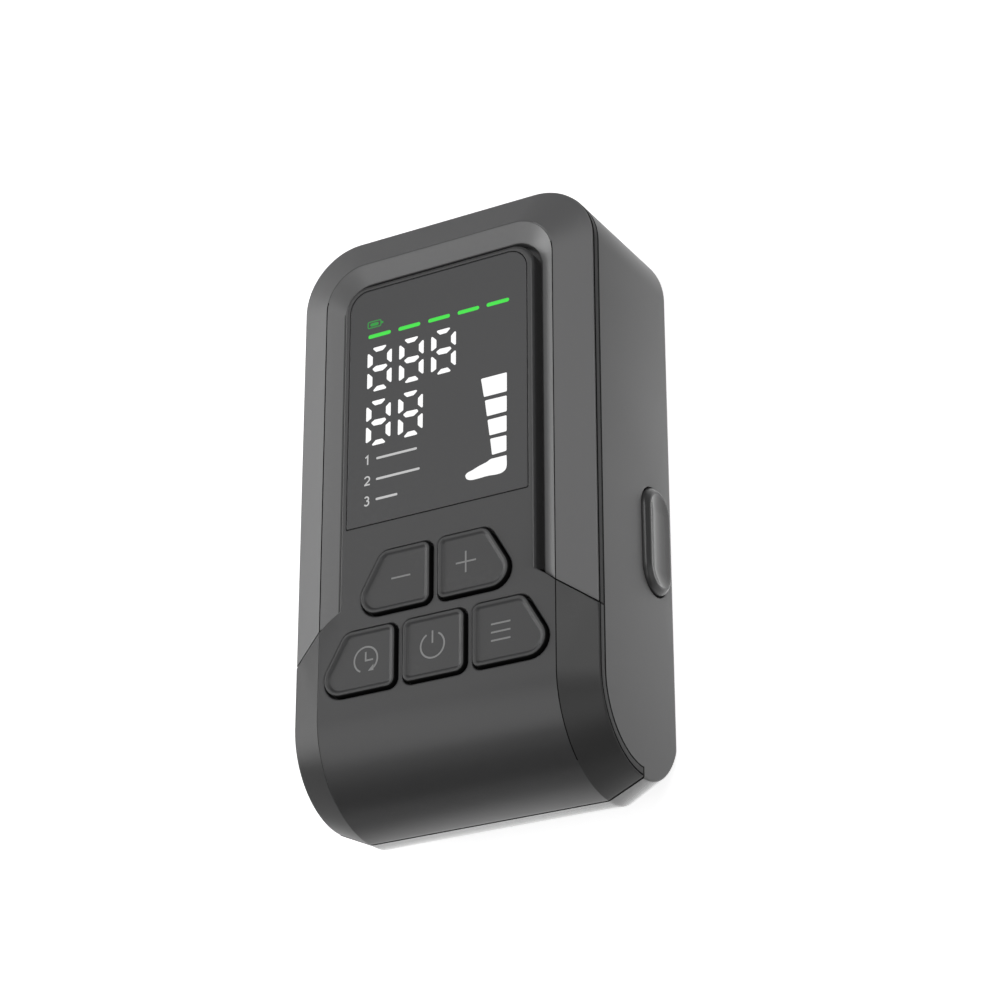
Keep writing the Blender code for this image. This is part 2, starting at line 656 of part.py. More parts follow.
def tube(name, points, radius, finish):
    """A soft tube on a smooth route through the points (x, v, z)."""
    knots = np.array(points, float)
    steps = np.linspace(0.0, len(knots) - 1.0, 28)
    padded = np.vstack([2 * knots[0] - knots[1], knots, 2 * knots[-1] - knots[-2]])
    route = []
    for s in steps:
        i = min(int(s), len(knots) - 2)
        t = s - i
        p0, p1, p2, p3 = padded[i : i + 4]
        bend = 2 * p1 + (p2 - p0) * t + (2 * p0 - 5 * p1 + 4 * p2 - p3) * t**2
        route.append((bend + (3 * p1 - p0 - 3 * p2 + p3) * t**3) / 2)
    curve = bpy.data.curves.new(name, "CURVE")
    curve.dimensions = "3D"
    curve.bevel_depth = radius * MM
    curve.bevel_resolution = 2
    curve.use_fill_caps = True
    spline = curve.splines.new("POLY")
    spline.points.add(len(route) - 1)
    for point, spot in zip(spline.points, route):
        point.co = (*place(*spot), 1.0)
    curve.materials.append(finish)
    bpy.context.scene.collection.objects.link(bpy.data.objects.new(name, curve))


def make_tubes(finish):
    start = PUMP_V + HEAD_HALF + 4 + GAP
    end_z = BARB_TOP_Z + GAP
    tube("pump_tube", [(20.0, start, 24.0), (19.6, 121.0, 24.3), (17.2, 126.4, 25.8),
                       (14.2, 131.6, 27.2), (12.4, 135.2, 26.2), (BARB_X, BARB_V, 23.6),
                       (BARB_X, BARB_V, end_z)], 2.1, finish)
    x, z = SENSOR_NOZZLE
    tube("sensor_tube", [(x, SENSOR_NOZZLE_V + GAP, z), (-17.6, 130.4, 28.7), (-15.4, 133.8, 28.0),
                         (-12.9, 136.2, 25.8), (-BARB_X, BARB_V, 23.2), (-BARB_X, BARB_V, end_z)],
         1.5, finish)


def make_leads(finish):
    """The cells' lead and the motor's lead, each up to the board's underside."""
    cell_end, below = CELL_V[1] + GAP, BOARD_Z[0] - GAP
    tube("battery_lead", [(-CELL_X, cell_end, CELL_Z), (-9.2, 83.6, 13.6), (-7.4, 85.2, 17.0),
                          (-6.2, 85.2, 23.0), (-6.0, 84.6, 28.0), (-6.0, 84.6, below)], 0.8, finish)
    tube("motor_lead", [(MOTOR_X[0] - GAP, PUMP_V, 25.0), (-30.2, 101.4, 26.0), (-30.2, 103.6, 28.2),
                        (-27.4, 106.2, 29.2), (-24.9, 107.8, 29.7), (-24.5, 108.2, below)],
         0.8, finish)


def make_electronics(metal, black):
    middle_z = sum(PORT_Z) / 2
    outer = stadium((0.0, middle_z), PORT_HALF - 1.6, 1.6, steps=4)
    inner = stadium((0.0, middle_z), PORT_HALF - 1.6, 1.3, steps=4)
    back, floor, mouth = PORT_V
    levels = [(outer, back), (outer, mouth), (inner, mouth), (inner, floor)]
    link("charge_port", along_v(levels), metal)
    below = BOARD_Z[0] - GAP
    body = box_outline(*SENSOR_BOX, radius=0.6)
    sensor = link("pressure_sensor", prism(body, below - 4.4, below), black)
    nozzle = circle(*SENSOR_NOZZLE, 1.1, 10)
    join(sensor, along_v([(nozzle, SENSOR_BOX[3] - 1), (nozzle, SENSOR_NOZZLE_V)]))
    link("buzzer", prism(circle(*BUZZER, 5.0, 20), below - 3.6, below), black)
    link("main_chip", prism(box_outline(*CHIP_BOX, radius=0.3), below - 1.2, below), black)


def main():
    clear_scene()
    shell = material("shell_grey", SHELL_GREY, 0.45)
    panel = material("panel_grey", PANEL_GREY, 0.42)
    lens = material("lens_grey", LENS_GREY, 0.25)
    black = material("black_plastic", BLACK, 0.4)
    steel = material("steel", STEEL, 0.35, 1.0)
    board_green = material("board_green", (0.01, 0.09, 0.04), 0.45)
    sleeve = material("cell_sleeve", (0.03, 0.10, 0.32), 0.35)
    soft = material("silicone", (0.55, 0.55, 0.53), 0.6)
    white = material("white_plastic", (0.7, 0.7, 0.68), 0.5)
    make_rear(shell)
    make_frame(shell)
    make_panel(panel)
    make_lens(lens)
    for name, (corners, radii) in key_shapes().items():
        make_key(name, corners, radii, panel)
        make_key_switch(name, black)
    for side, hand in ((-1, "left"), (1, "right")):
        make_side_button(f"side_button_{hand}", side, shell)
        make_side_switch(f"side_switch_{hand}", side, black)
    make_board(board_green)
    make_display(black)
    make_screws(steel)
    make_cells(sleeve, black)
    make_pump(steel, white, soft)
    make_valves(white, black)
    make_tubes(soft)
    make_leads(black)
    make_electronics(steel, black)


main()
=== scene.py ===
import json
import math

import bmesh
import bpy
import numpy as np
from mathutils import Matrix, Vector
from mathutils.geometry import delaunay_2d_cdt

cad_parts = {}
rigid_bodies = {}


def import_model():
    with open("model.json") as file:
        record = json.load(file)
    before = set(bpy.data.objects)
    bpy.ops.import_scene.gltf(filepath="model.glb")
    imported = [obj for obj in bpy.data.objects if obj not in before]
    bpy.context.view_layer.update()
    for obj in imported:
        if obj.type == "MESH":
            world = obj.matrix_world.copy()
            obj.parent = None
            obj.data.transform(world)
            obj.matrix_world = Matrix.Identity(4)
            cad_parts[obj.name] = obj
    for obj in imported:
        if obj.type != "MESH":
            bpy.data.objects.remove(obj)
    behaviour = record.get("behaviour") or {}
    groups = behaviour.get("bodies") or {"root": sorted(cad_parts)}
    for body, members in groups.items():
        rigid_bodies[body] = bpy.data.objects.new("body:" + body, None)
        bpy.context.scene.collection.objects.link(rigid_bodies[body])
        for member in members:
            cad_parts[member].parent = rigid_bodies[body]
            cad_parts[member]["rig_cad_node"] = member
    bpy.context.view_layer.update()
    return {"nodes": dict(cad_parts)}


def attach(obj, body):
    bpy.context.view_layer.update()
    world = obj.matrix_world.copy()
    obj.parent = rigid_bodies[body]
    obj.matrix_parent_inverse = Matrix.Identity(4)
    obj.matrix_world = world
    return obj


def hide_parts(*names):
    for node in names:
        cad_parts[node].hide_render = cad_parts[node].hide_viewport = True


# Handheld controller of an air compression foot massager, lying on its back with its display up.
# Sizes are in millimetres: x across, v up the length from the bottom end, z up from the back face.

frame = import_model()
print("frame loaded:", len(frame["nodes"]), "nodes")

case = {
    "length": 148.0,
    "halfWidth": 40.0,
    "corner": 15.6,  # radius of the top corners, seen from the front
    "crestHalf": 31.2,  # x of the ridge line between the flat front and the outer band
    "crestZ": 42.4,
    "edgeZ": 38.3,
    "partingZ": 36.0,
    "curlV": 24.0,  # the front curls down about this line, at curlZ
    "curlZ": 18.4,
    "crestRadius": 24.0,  # from that line to the crest,
    "edgeRadius": 19.9,  # to the outer band's edge
    "rimRadius": 17.45,  # and to the rear casing's rim
    "gap": 0.3,
}
screwSpots = ((31.0, 24.0), (31.5, 126.0))  # x on either side, and v: bottom and top pair

tracks = {  # plan outlines of the front: half width, top and corner radius
    "outer": (case["halfWidth"], case["length"], case["corner"]),
    "crest": (31.2, 139.3, 10.5),
    "opening": (27.1, 134.6, 7.5),
    "plateau": (26.0, 133.0, 6.0),
    "lens": (24.3, 131.6, 5.0),
    "window": (22.8, 129.8, 3.0),
}

seam = {"x": (26.0, 28.6, 31.1, 40.0), "v": (49.1, 47.2, 45.0, 39.1)}


# Shape helpers

def toMetres(points):  # x, v, z in millimetres to the row frame: y is v less half the length
    return (np.asarray(points, float) - (0.0, case["length"] / 2, 0.0)) * 0.001


def grown(track, amount):  # the outline moved out, its corners growing with it
    half, top, radius = track
    return (half + amount, top + amount, radius + amount)


# Each corner of a convex outline becomes an arc that touches both its sides, moved out by offset.
def roundedLoop(corners, radii, offset=0.0, steps=8):
    corners = np.asarray(corners, float)
    into = corners - np.roll(corners, 1, axis=0)
    into /= np.linalg.norm(into, axis=1)[:, None]
    out = np.roll(into, -1, axis=0)
    normalIn = np.stack([into[:, 1], -into[:, 0]], 1)
    normalOut = np.stack([out[:, 1], -out[:, 0]], 1)
    reach = (normalIn + normalOut) / (1.0 + (normalIn * normalOut).sum(1))[:, None]
    radius = np.maximum(np.asarray(radii, float) + offset, 0.25)
    centre = corners + reach * (offset - radius)[:, None]
    turn = np.arctan2(into[:, 0] * out[:, 1] - into[:, 1] * out[:, 0], (into * out).sum(1))
    start = np.arctan2(normalIn[:, 1], normalIn[:, 0])
    angle = start[:, None] + turn[:, None] * np.linspace(0, 1, steps + 1)[None, :]
    points = centre[:, None, :] + radius[:, None, None] * np.stack([np.cos(angle), np.sin(angle)], -1)
    return points.reshape(-1, 2)


# A door's outline: small corners at the bottom, the track's own radius at the top.
def archLoop(track, bottom, offset=0.0, bottomRadius=0.4, steps=10):
    half, top, radius = track
    corners = [(-half, bottom), (half, bottom), (half, top), (-half, top)]
    return roundedLoop(corners, [bottomRadius, bottomRadius, radius, radius], offset, steps)


# Two half circles joined by straight sides along the first axis.
def stadiumLoop(centre, straight, radius, steps=20):
    angle = np.linspace(-np.pi / 2, np.pi / 2, steps + 1)
    end = np.stack([straight + radius * np.cos(angle), radius * np.sin(angle)], 1)
    return np.concatenate([end, -end]) + centre


# Points evenly spaced round a circle.
def circleLoop(centre, radius, sides=48):
    angle = np.linspace(0, 2 * np.pi, sides, endpoint=False)
    return np.stack([np.cos(angle), np.sin(angle)], 1) * radius + centre


# A corner of a line of points is swapped for a curve that leaves one side before it and joins
# the next after it, by the cut lengths given for that corner. A cut of none keeps it sharp.
def filletLine(points, cuts, steps=6, support=0.2):
    points = np.asarray(points, float)
    made = [points[0]]
    t = np.linspace(0, 1, steps + 1)[:, None]
    for i in range(1, len(points) - 1):
        before, corner, after = points[i - 1], points[i], points[i + 1]
        if not cuts[i]:
            made.append(corner)
            continue
        lead, leave = cuts[i] if isinstance(cuts[i], tuple) else (cuts[i], cuts[i])
        back, on = before - corner, after - corner
        reachBack, reachOn = np.linalg.norm(back[[0, -1]]), np.linalg.norm(on[[0, -1]])
        start, end = corner + back * lead / reachBack, corner + on * leave / reachOn
        if reachBack > lead + 2 * support:
            made.append(corner + back * (lead + support) / reachBack)
        made.extend((1 - t) ** 2 * start + 2 * t * (1 - t) * corner + t**2 * end)
        if reachOn > leave + 2 * support:
            made.append(corner + on * (leave + support) / reachOn)
    made.append(points[-1])
    return np.array(made)


# A point is inside if a ray from it crosses the loops an odd number of times.
def insideLoops(points, loops):
    crossings = np.zeros(len(points), int)
    for loop in loops:
        loop = np.asarray(loop)
        a, b = loop, np.roll(loop, -1, axis=0)
        x, y = points[:, :1], points[:, 1:]
        spans = (a[None, :, 1] > y) != (b[None, :, 1] > y)
        rise = np.where(b[:, 1] == a[:, 1], 1.0, b[:, 1] - a[:, 1])
        across = a[:, 0] + (y - a[:, 1]) * (b[:, 0] - a[:, 0]) / rise
        crossings += (spans & (x < across)).sum(1)
    return crossings % 2 == 1


# Triangles over the area inside the first loop and outside the others, along the given lines.
def fillDomain(loops, lines=()):
    points, edges = [], []
    for group, closed in ((loops, True), (lines, False)):
        for line in group:
            first, count = len(points), len(line)
            points.extend(np.asarray(line, float).tolist())
            edges.extend((first + i, first + i + 1) for i in range(count - 1))
            if closed:
                edges.append((first + count - 1, first))
    flat, _, faces, *_ = delaunay_2d_cdt([Vector(p) for p in points], edges, [], 0, 1e-5)
    flat, faces = np.array([tuple(p) for p in flat]), np.array(faces)
    keep = insideLoops(flat[faces].mean(axis=1), loops)
    return flat, faces[keep]


def flatAt(outline, height):  # an outline's two columns, and a third that is the same all over
    return np.column_stack([outline, np.full(len(outline), height)])


def flatCap(loops, height, lines=()):  # triangles over the area that the loops leave, at a height
    flat, faces = fillDomain(loops, lines)
    return flatAt(flat, height), faces


# Quads between neighbouring rows of points; closed joins the last column to the first.
def gridFaces(rows, columns, closed=True):
    last = columns if closed else columns - 1
    i, j = np.meshgrid(np.arange(rows - 1), np.arange(last), indexing="ij")
    k = (j + 1) % columns
    quads = [i * columns + j, i * columns + k, (i + 1) * columns + k, (i + 1) * columns + j]
    return np.stack(quads, -1).reshape(-1, 4)


def bridge(rows, closed=True):  # rows: an array of rows, columns and x, v, z
    rows = np.asarray(rows, float)
    return rows.reshape(-1, 3), gridFaces(rows.shape[0], rows.shape[1], closed)


# Joins parts at their shared points into one closed mesh with its faces outwards.
def makePiece(name, parts, body, stands=(), slot=None, finish=None):
    points, faces, first = [], [], 0
    for verts, polygons in parts:
        points.append(np.asarray(verts, float))
        faces.extend((np.asarray(polygons) + first).tolist())
        first += len(verts)
    mesh = bpy.data.meshes.new(name)
    mesh.from_pydata(toMetres(np.concatenate(points)).tolist(), [], faces)
    bm = bmesh.new()
    bm.from_mesh(mesh)
    bmesh.ops.remove_doubles(bm, verts=bm.verts, dist=2e-6)
    bmesh.ops.dissolve_degenerate(bm, edges=bm.edges, dist=1e-7)
    bmesh.ops.recalc_face_normals(bm, faces=bm.faces)
    openEdges = sum(not edge.is_manifold for edge in bm.edges)
    bm.to_mesh(mesh)
    bm.free()
    mesh.shade_smooth()
    mesh.set_sharp_from_angle(angle=math.radians(40))
    piece = bpy.data.objects.new(name, mesh)
    bpy.context.scene.collection.objects.link(piece)
    mesh.materials.append(finishes[finish or slot])
    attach(piece, body)
    if stands:
        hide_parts(*stands)
    print(f"{name}: {len(mesh.polygons)} faces", f"OPEN {openEdges}" if openEdges else "closed")
    return piece


# Gives faces another finish where chosen(x, v, z) holds at their middles, in millimetres.
def refinish(piece, chosen, finish):
    mesh = piece.data
    middles = np.empty(len(mesh.polygons) * 3)
    mesh.polygons.foreach_get("center", middles)
    x, y, z = middles.reshape(-1, 3).T * 1000
    picked = chosen(x, y + case["length"] / 2, z)
    index = np.empty(len(mesh.polygons), np.int32)
    mesh.polygons.foreach_get("material_index", index)
    index[picked] = len(mesh.materials)
    mesh.materials.append(finishes[finish])
    mesh.polygons.foreach_set("material_index", index)
    print(f"{piece.name}: {picked.sum()} faces are {finishes[finish].name}")


def insideOf(track, x, v):  # distance inwards from an arch-shaped outline
    half, top, radius = track
    across, along = np.maximum(np.abs(x) - (half - radius), 0), np.maximum(v - (top - radius), 0)
    return radius - np.hypot(across, along)


# A closed tower of outlines: each row is an outline at a height, the ends filled flat.
def tower(levels, axis="z"):
    order = {"z": (0, 1, 2), "v": (0, 2, 1), "x": (2, 0, 1)}[axis]
    rows = np.array([flatAt(loop, height) for loop, height in levels])
    caps = [flatCap([loop], height) for loop, height in (levels[0], levels[-1])]
    return [bridge(rows[:, :, order]), *((points[:, order], faces) for points, faces in caps)]


# Outline of a pen stroke of even width along a line of points, its corners mitred.
def strokeLoop(points, width):
    points = np.asarray(points, float)
    step = np.diff(points, axis=0)
    step /= np.linalg.norm(step, axis=1)[:, None]
    into, out = np.vstack([step[:1], step]), np.vstack([step, step[-1:]])
    normalIn = np.stack([into[:, 1], -into[:, 0]], 1)
    normalOut = np.stack([out[:, 1], -out[:, 0]], 1)
    reach = (normalIn + normalOut) / (1.0 + (normalIn * normalOut).sum(1))[:, None]
    return np.concatenate([points + reach * width / 2, (points - reach * width / 2)[::-1]])


def arcLine(centre, radius, start, end, steps=28):  # degrees, counter-clockwise from +X
    angle = np.radians(np.linspace(start, end, steps + 1))
    return np.stack([np.cos(angle), np.sin(angle)], 1) * radius + centre


# Corner cutting: every side of the outline keeps its middle half, twice over.
def softened(points, rounds=2):
    points = np.asarray(points, float)
    for _ in range(rounds):
        ahead = np.roll(points, -1, axis=0)
        points = np.stack([0.75 * points + 0.25 * ahead, 0.25 * points + 0.75 * ahead], 1).reshape(-1, 2)
    return points


# Thin closed prints between two heights, one for each outline.
def prints(outlines, low, high):
    parts = []
    for loop in outlines:
        parts += tower([(loop, low), (loop, high)])
    return parts


# Finishes: shared node groups that give only heights, shades and masks

# Fills a node's inputs, by name or number: each takes a constant or the socket that feeds it.
def fill(tree, node, inputs):
    for label, value in inputs.items():
        if isinstance(value, bpy.types.NodeSocket):
            tree.links.new(value, node.inputs[label])
        else:
            node.inputs[label].default_value = value
    return node


def addNode(tree, kind, inputs=(), operation=None):
    node = tree.nodes.new("ShaderNode" + kind)
    if operation:
        node.operation = operation
    return fill(tree, node, dict(inputs))


# Noise in the object's own space, its axes squeezed where asked.
def noise(tree, scale, detail=2.0, roughness=0.5, squeeze=None):
    where = addNode(tree, "TexCoord").outputs["Object"]
    if squeeze:
        where = addNode(tree, "Mapping", {"Vector": where, "Scale": squeeze}).outputs[0]
    inputs = {"Vector": where, "Scale": scale, "Detail": detail, "Roughness": roughness}
    return addNode(tree, "TexNoise", inputs).outputs["Fac"]


def stretched(tree, value, low, high, toLow=0.0, toHigh=1.0):  # maps a range of values to another
    inputs = {"Value": value, "From Min": low, "From Max": high, "To Min": toLow, "To Max": toHigh}
    return addNode(tree, "MapRange", inputs).outputs["Result"]


def worked(tree, operation, first, second):  # one step of arithmetic
    return addNode(tree, "Math", {0: first, 1: second}, operation).outputs[0]


def tinted(tree, factor, first, second):  # mixes two colours, each a constant or a socket
    mix = addNode(tree, "Mix")
    mix.data_type = "RGBA"
    first, second = (c if isinstance(c, bpy.types.NodeSocket) else (*c, 1.0) for c in (first, second))
    return fill(tree, mix, {0: factor, 6: first, 7: second}).outputs[2]


def bumped(tree, height, strength, distance=0.00004):
    inputs = {"Strength": strength, "Distance": distance, "Height": height}
    return addNode(tree, "Bump", inputs).outputs[0]


# A shared group of nodes: lay(tree, given) returns what each of its named outputs puts out.
def makeGroup(name, lay, **inputs):
    group = bpy.data.node_groups.new(name, "ShaderNodeTree")
    kind = {"socket_type": "NodeSocketFloat"}
    for label, value in inputs.items():
        group.interface.new_socket(label, in_out="INPUT", **kind).default_value = value
    outputs = lay(group, group.nodes.new("NodeGroupInput").outputs)
    for label in outputs:
        group.interface.new_socket(label, in_out="OUTPUT", **kind)
    fill(group, group.nodes.new("NodeGroupOutput"), outputs)
    return group


def useGroup(tree, group, **values):
    node = addNode(tree, "Group")
    node.node_tree = group
    return fill(tree, node, values).outputs


# Spark-eroded mould texture: fine pits for the bump, and a slow drift of tone
def layGrain(tree, given):
    fine = noise(tree, given["Scale"], 3.0, 0.6)
    drift = stretched(tree, noise(tree, 38.0, 4.0, 0.55), 0.3, 0.7)
    speck = stretched(tree, fine, 0.2, 0.8, -0.25, 0.25)
    return {"Height": stretched(tree, fine, 0.3, 0.7), "Shade": worked(tree, "ADD", drift, speck)}


# Edges that hands polish: convex places, broken up by noise
def layWear(tree, given):
    edge = stretched(tree, addNode(tree, "NewGeometry").outputs["Pointiness"], 0.515, 0.60)
    broken = stretched(tree, noise(tree, 700.0, 5.0, 0.65), 0.42, 0.62)
    return {"Mask": worked(tree, "MULTIPLY", edge, broken)}


# Fine dust that settles on faces turned up, thicker in hollows
def layDust(tree, given):
    shape = addNode(tree, "NewGeometry").outputs
    up = stretched(tree, addNode(tree, "SeparateXYZ", {0: shape["Normal"]}).outputs["Z"], 0.2, 1.0)
    hollow = stretched(tree, shape["Pointiness"], 0.5, 0.44, 0.35, 1.0)
    flecks = stretched(tree, noise(tree, 2600.0, 6.0, 0.75), 0.56, 0.70)
    return {"Mask": worked(tree, "MULTIPLY", worked(tree, "MULTIPLY", up, hollow), flecks)}


# Drawn or turned metal: streaks along one axis
def layStreaks(tree, given):
    lines = noise(tree, 1.0, 3.0, 0.6, (9000.0, 9000.0, 350.0))
    shade = noise(tree, 260.0, 4.0, 0.6)
    return {"Height": stretched(tree, lines, 0.3, 0.7), "Shade": stretched(tree, shade, 0.35, 0.65)}


grainGroup = makeGroup("mouldGrain", layGrain, Scale=4200.0)
wearGroup = makeGroup("edgeWear", layWear)
dustGroup = makeGroup("settledDust", layDust)
streakGroup = makeGroup("metalStreaks", layStreaks)


def bareMaterial(name):  # the material, its tree and its main shader
    made = bpy.data.materials.new(name)
    made.use_nodes = True
    return made, made.node_tree, made.node_tree.nodes["Principled BSDF"]


# Moulded plastic or rubber. Drift is the share by which the tone wanders either way; wear and
# dust are how strongly their masks show; worn is the colour that polished edges take.
def moulded(name, colour, roughness, grain=4200.0, bump=0.06, drift=0.035, wear=0.25, dust=0.10, **more):
    made, tree, shader = bareMaterial(name)
    texture = useGroup(tree, grainGroup, Scale=grain)
    dark, light = ([c * (1 + sign * drift) for c in colour] for sign in (-1, 1))
    tone = tinted(tree, texture["Shade"], dark, light)
    worn = [min(c * 1.7 + 0.01, 0.8) for c in colour]
    for group, share, over in ((wearGroup, wear, worn), (dustGroup, dust, (0.42, 0.41, 0.39))):
        if share:
            mask = worked(tree, "MULTIPLY", useGroup(tree, group)["Mask"], share)
            tone = tinted(tree, mask, tone, over)
    rough = stretched(tree, texture["Shade"], 0.0, 1.0, roughness * (1 - drift), roughness * (1 + drift))
    fill(tree, shader, {"Base Color": tone, "Roughness": rough,
                        "Normal": bumped(tree, texture["Height"], bump),
                        **{label.replace("_", " "): value for label, value in more.items()}})
    return made


def metal(name, colour, roughness, bump=0.06):
    made, tree, shader = bareMaterial(name)
    streaks = useGroup(tree, streakGroup)
    dark, light = [c * 0.9 for c in colour], [min(c * 1.08, 1.0) for c in colour]
    fill(tree, shader, {
        "Metallic": 1.0,
        "Base Color": tinted(tree, streaks["Shade"], dark, light),
        "Roughness": stretched(tree, streaks["Shade"], 0.0, 1.0, roughness - 0.05, roughness + 0.06),
        "Normal": bumped(tree, streaks["Height"], bump, 0.00002),
    })
    return made


# Lit display figures: they shine by themselves, a little uneven like a diffuser over lamps
def litMaterial(name, colour, strength):
    made, tree, shader = bareMaterial(name)
    shade = useGroup(tree, grainGroup, Scale=900.0)["Shade"]
    fill(tree, shader, {
        "Emission Color": tinted(tree, shade, [c * 0.96 for c in colour], colour),
        "Emission Strength": strength,
        "Base Color": (*[c * 0.2 for c in colour], 1.0),
        "Specular IOR Level": 0.0,
    })
    return made


# Solder mask over copper: thin tracks on a square grid, some left out, with tinned spots
def boardMaterial():
    made, tree, shader = bareMaterial("boardMask")
    where = addNode(tree, "TexCoord").outputs["Object"]
    bricks = addNode(tree, "TexBrick", {"Vector": where, "Scale": 1.0, "Mortar Size": 0.00012,
                                        "Brick Width": 0.0085, "Row Height": 0.0012})
    some = stretched(tree, noise(tree, 90.0, 1.0), 0.46, 0.50)
    track = worked(tree, "MULTIPLY", bricks.outputs["Fac"], some)
    tone = tinted(tree, track, (0.010, 0.085, 0.038), (0.035, 0.19, 0.075))
    dots = addNode(tree, "TexVoronoi", {"Vector": where, "Scale": 330.0, "Randomness": 0.35})
    spot = stretched(tree, dots.outputs["Distance"], 0.17, 0.14)
    spot = worked(tree, "MULTIPLY", spot, stretched(tree, noise(tree, 70.0, 0.0), 0.52, 0.54))
    fill(tree, shader, {
        "Base Color": tinted(tree, spot, tone, (0.55, 0.54, 0.50)),
        "Roughness": stretched(tree, spot, 0.0, 1.0, 0.32, 0.28),
        "Metallic": spot,
        "Normal": bumped(tree, track, 0.3),
    })
    return made


# Shrink sleeve over a cell, with a white insulating ring and a bare cap at the top end
def cellMaterial():
    made, tree, shader = bareMaterial("cellSleeve")
    shade = useGroup(tree, grainGroup, Scale=1400.0)["Shade"]
    tone = tinted(tree, shade, (0.020, 0.085, 0.28), (0.028, 0.11, 0.35))
    along = addNode(tree, "SeparateXYZ", {0: addNode(tree, "TexCoord").outputs["Object"]}).outputs["Y"]
    ring, cap = stretched(tree, along, 0.00655, 0.00665), stretched(tree, along, 0.00668, 0.00672)
    tone = tinted(tree, ring, tone, (0.72, 0.72, 0.70))
    wrinkles = noise(tree, 1.0, 3.0, 0.5, (500.0, 2600.0, 500.0))
    fill(tree, shader, {
        "Base Color": tinted(tree, cap, tone, (0.62, 0.62, 0.60)),
        "Metallic": cap,
        "Roughness": 0.3,
        "Normal": bumped(tree, wrinkles, 0.12, 0.0001),
    })
    return made


smooth = {"bump": 0.015, "drift": 0.02}
fine = {**smooth, "grain": 5200.0, "dust": 0.02}  # the front panel and its keys
still = {"bump": 0.0, "wear": 0.0}
shellTone, panelTone = (0.172, 0.172, 0.174), (0.086, 0.086, 0.087)

finishes = {  # the first twelve bear the names of the nodes' slots
    "shell_grey": moulded("shellSatin", shellTone, 0.38, wear=0.06, dust=0.04, **smooth),
    "panel_grey": moulded("panelMatt", panelTone, 0.29, wear=0.06, **fine),
    "lens_grey": moulded("lensSmoked", (0.087, 0.087, 0.089), 0.26, bump=0.005, drift=0.015, wear=0.1,
                         dust=0.02),
    "key_grey": moulded("keyMatt", panelTone, 0.43, **fine),
    "button_grey": moulded("buttonSatin", (0.085, 0.085, 0.086), 0.26, bump=0.01, drift=0.02, dust=0.03),
    "black_plastic": moulded("blackPlastic", (0.012, 0.012, 0.013), 0.38),
    "white_plastic": moulded("whitePlastic", (0.66, 0.66, 0.63), 0.45, dust=0.05),
    "silicone": moulded("silicone", (0.52, 0.52, 0.49), 0.5, grain=2500.0, bump=0.05, wear=0.0),
    "wire_sleeve": moulded("wireSleeve", (0.016, 0.015, 0.015), 0.42, grain=2500.0, wear=0.0),
    "steel": metal("screwSteel", (0.52, 0.52, 0.53), 0.34),
    "board_green": boardMaterial(),
    "cell_sleeve": cellMaterial(),
    # For faces and small parts that differ from the rest of their piece
    # Lighter copy of the shell's grey for the bezel's inner bevel: painted light
    "innerBevel": moulded("innerBevelPaintedLight", (0.240, 0.240, 0.242), 0.36, dust=0.04, **smooth),
    # Lighter grey along the rounded edge of the outer band: a painted highlight
    "bandEdge": moulded("edgePaintedHighlight", (0.24, 0.24, 0.242), 0.34, bump=0.01, dust=0.03),
    "underside": moulded("shellPolished", shellTone, 0.22, bump=0.005, drift=0.02, wear=0.06, dust=0.02,
                         Coat_Weight=1.0, Coat_Roughness=0.12),
    # Darker grey on the strip of side face between the two dark lines: painted shade
    "strip": moulded("stripPaintedShade", (0.062, 0.062, 0.063), 0.5, bump=0.0, dust=0.0,
                     Specular_IOR_Level=0.25),
    # Darker copy of the panel's grey for the outer bands and the plateau's left edge: painted shade
    "band": moulded("bandPaintedShade", (0.070, 0.070, 0.070), 0.36, bump=0.012, dust=0.02,
                    Specular_IOR_Level=0.36),
    "line": moulded("grooveShadow", (0.010, 0.010, 0.010), 0.7, dust=0.0, Specular_IOR_Level=0.1,
                    **still),
    "dish": moulded("buttonDish", (0.036, 0.036, 0.037), 0.16, bump=0.003, drift=0.02, wear=0.06,
                    dust=0.03, Specular_IOR_Level=0.9),
    # Darker grey on the keys' inner slopes: painted shade
    "keySlopePaintedShade": moulded("keySlopePaintedShade", (0.068, 0.068, 0.069), 0.43, **fine),
    # Near black for the sleeves round the keys and the strip in the parting gap: painted shade
    "gapShade": moulded("gapShadeBlack", (0.006, 0.006, 0.006), 0.6, wear=0.0, dust=0.02,
                      Specular_IOR_Level=0.25),
    "mark": moulded("markPrint", (0.35, 0.35, 0.35), 0.5, bump=0.04, drift=0.06, wear=0.0, dust=0.0),
    "white": litMaterial("litWhite", (1.0, 1.0, 1.0), 0.95),
    "whiteDim": litMaterial("litWhiteDim", (1.0, 1.0, 1.0), 0.45),
    "green": litMaterial("litGreen", (0.085, 0.78, 0.094), 0.92),
    "greenDim": litMaterial("litGreenDim", (0.10, 0.62, 0.14), 0.45),
    "port": metal("portShell", (0.68, 0.68, 0.67), 0.26, 0.03),
    "brass": metal("contactBrass", (0.78, 0.60, 0.34), 0.28, 0.03),
}

nodeFinishes = {  # for nodes whose finish isn't the one of their slot
    "pump_motor": metal("motorCan", (0.60, 0.59, 0.57), 0.30),
    "display_module": moulded("displayGlass", (0.010, 0.011, 0.014), 0.12, dust=0.03, **still),
    "main_chip": moulded("chipEpoxy", (0.018, 0.018, 0.019), 0.55, grain=3200.0, bump=0.15, wear=0.1),
    "buzzer": moulded("buzzerCase", (0.010, 0.010, 0.011), 0.28, dust=0.06),
}


# CAD nodes that stay in view take the finish of their own name, or else of their slot.
def dressNodes():
    count = 0
    for shown in bpy.context.scene.objects:
        node = shown.get("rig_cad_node")
        if not node or shown.hide_render:
            continue
        for index, material in enumerate(shown.data.materials):
            shown.data.materials[index] = nodeFinishes.get(node) or finishes[material.name]
            count += 1
    print("finishes given to", count, "slots of the CAD nodes")


# Front bezel

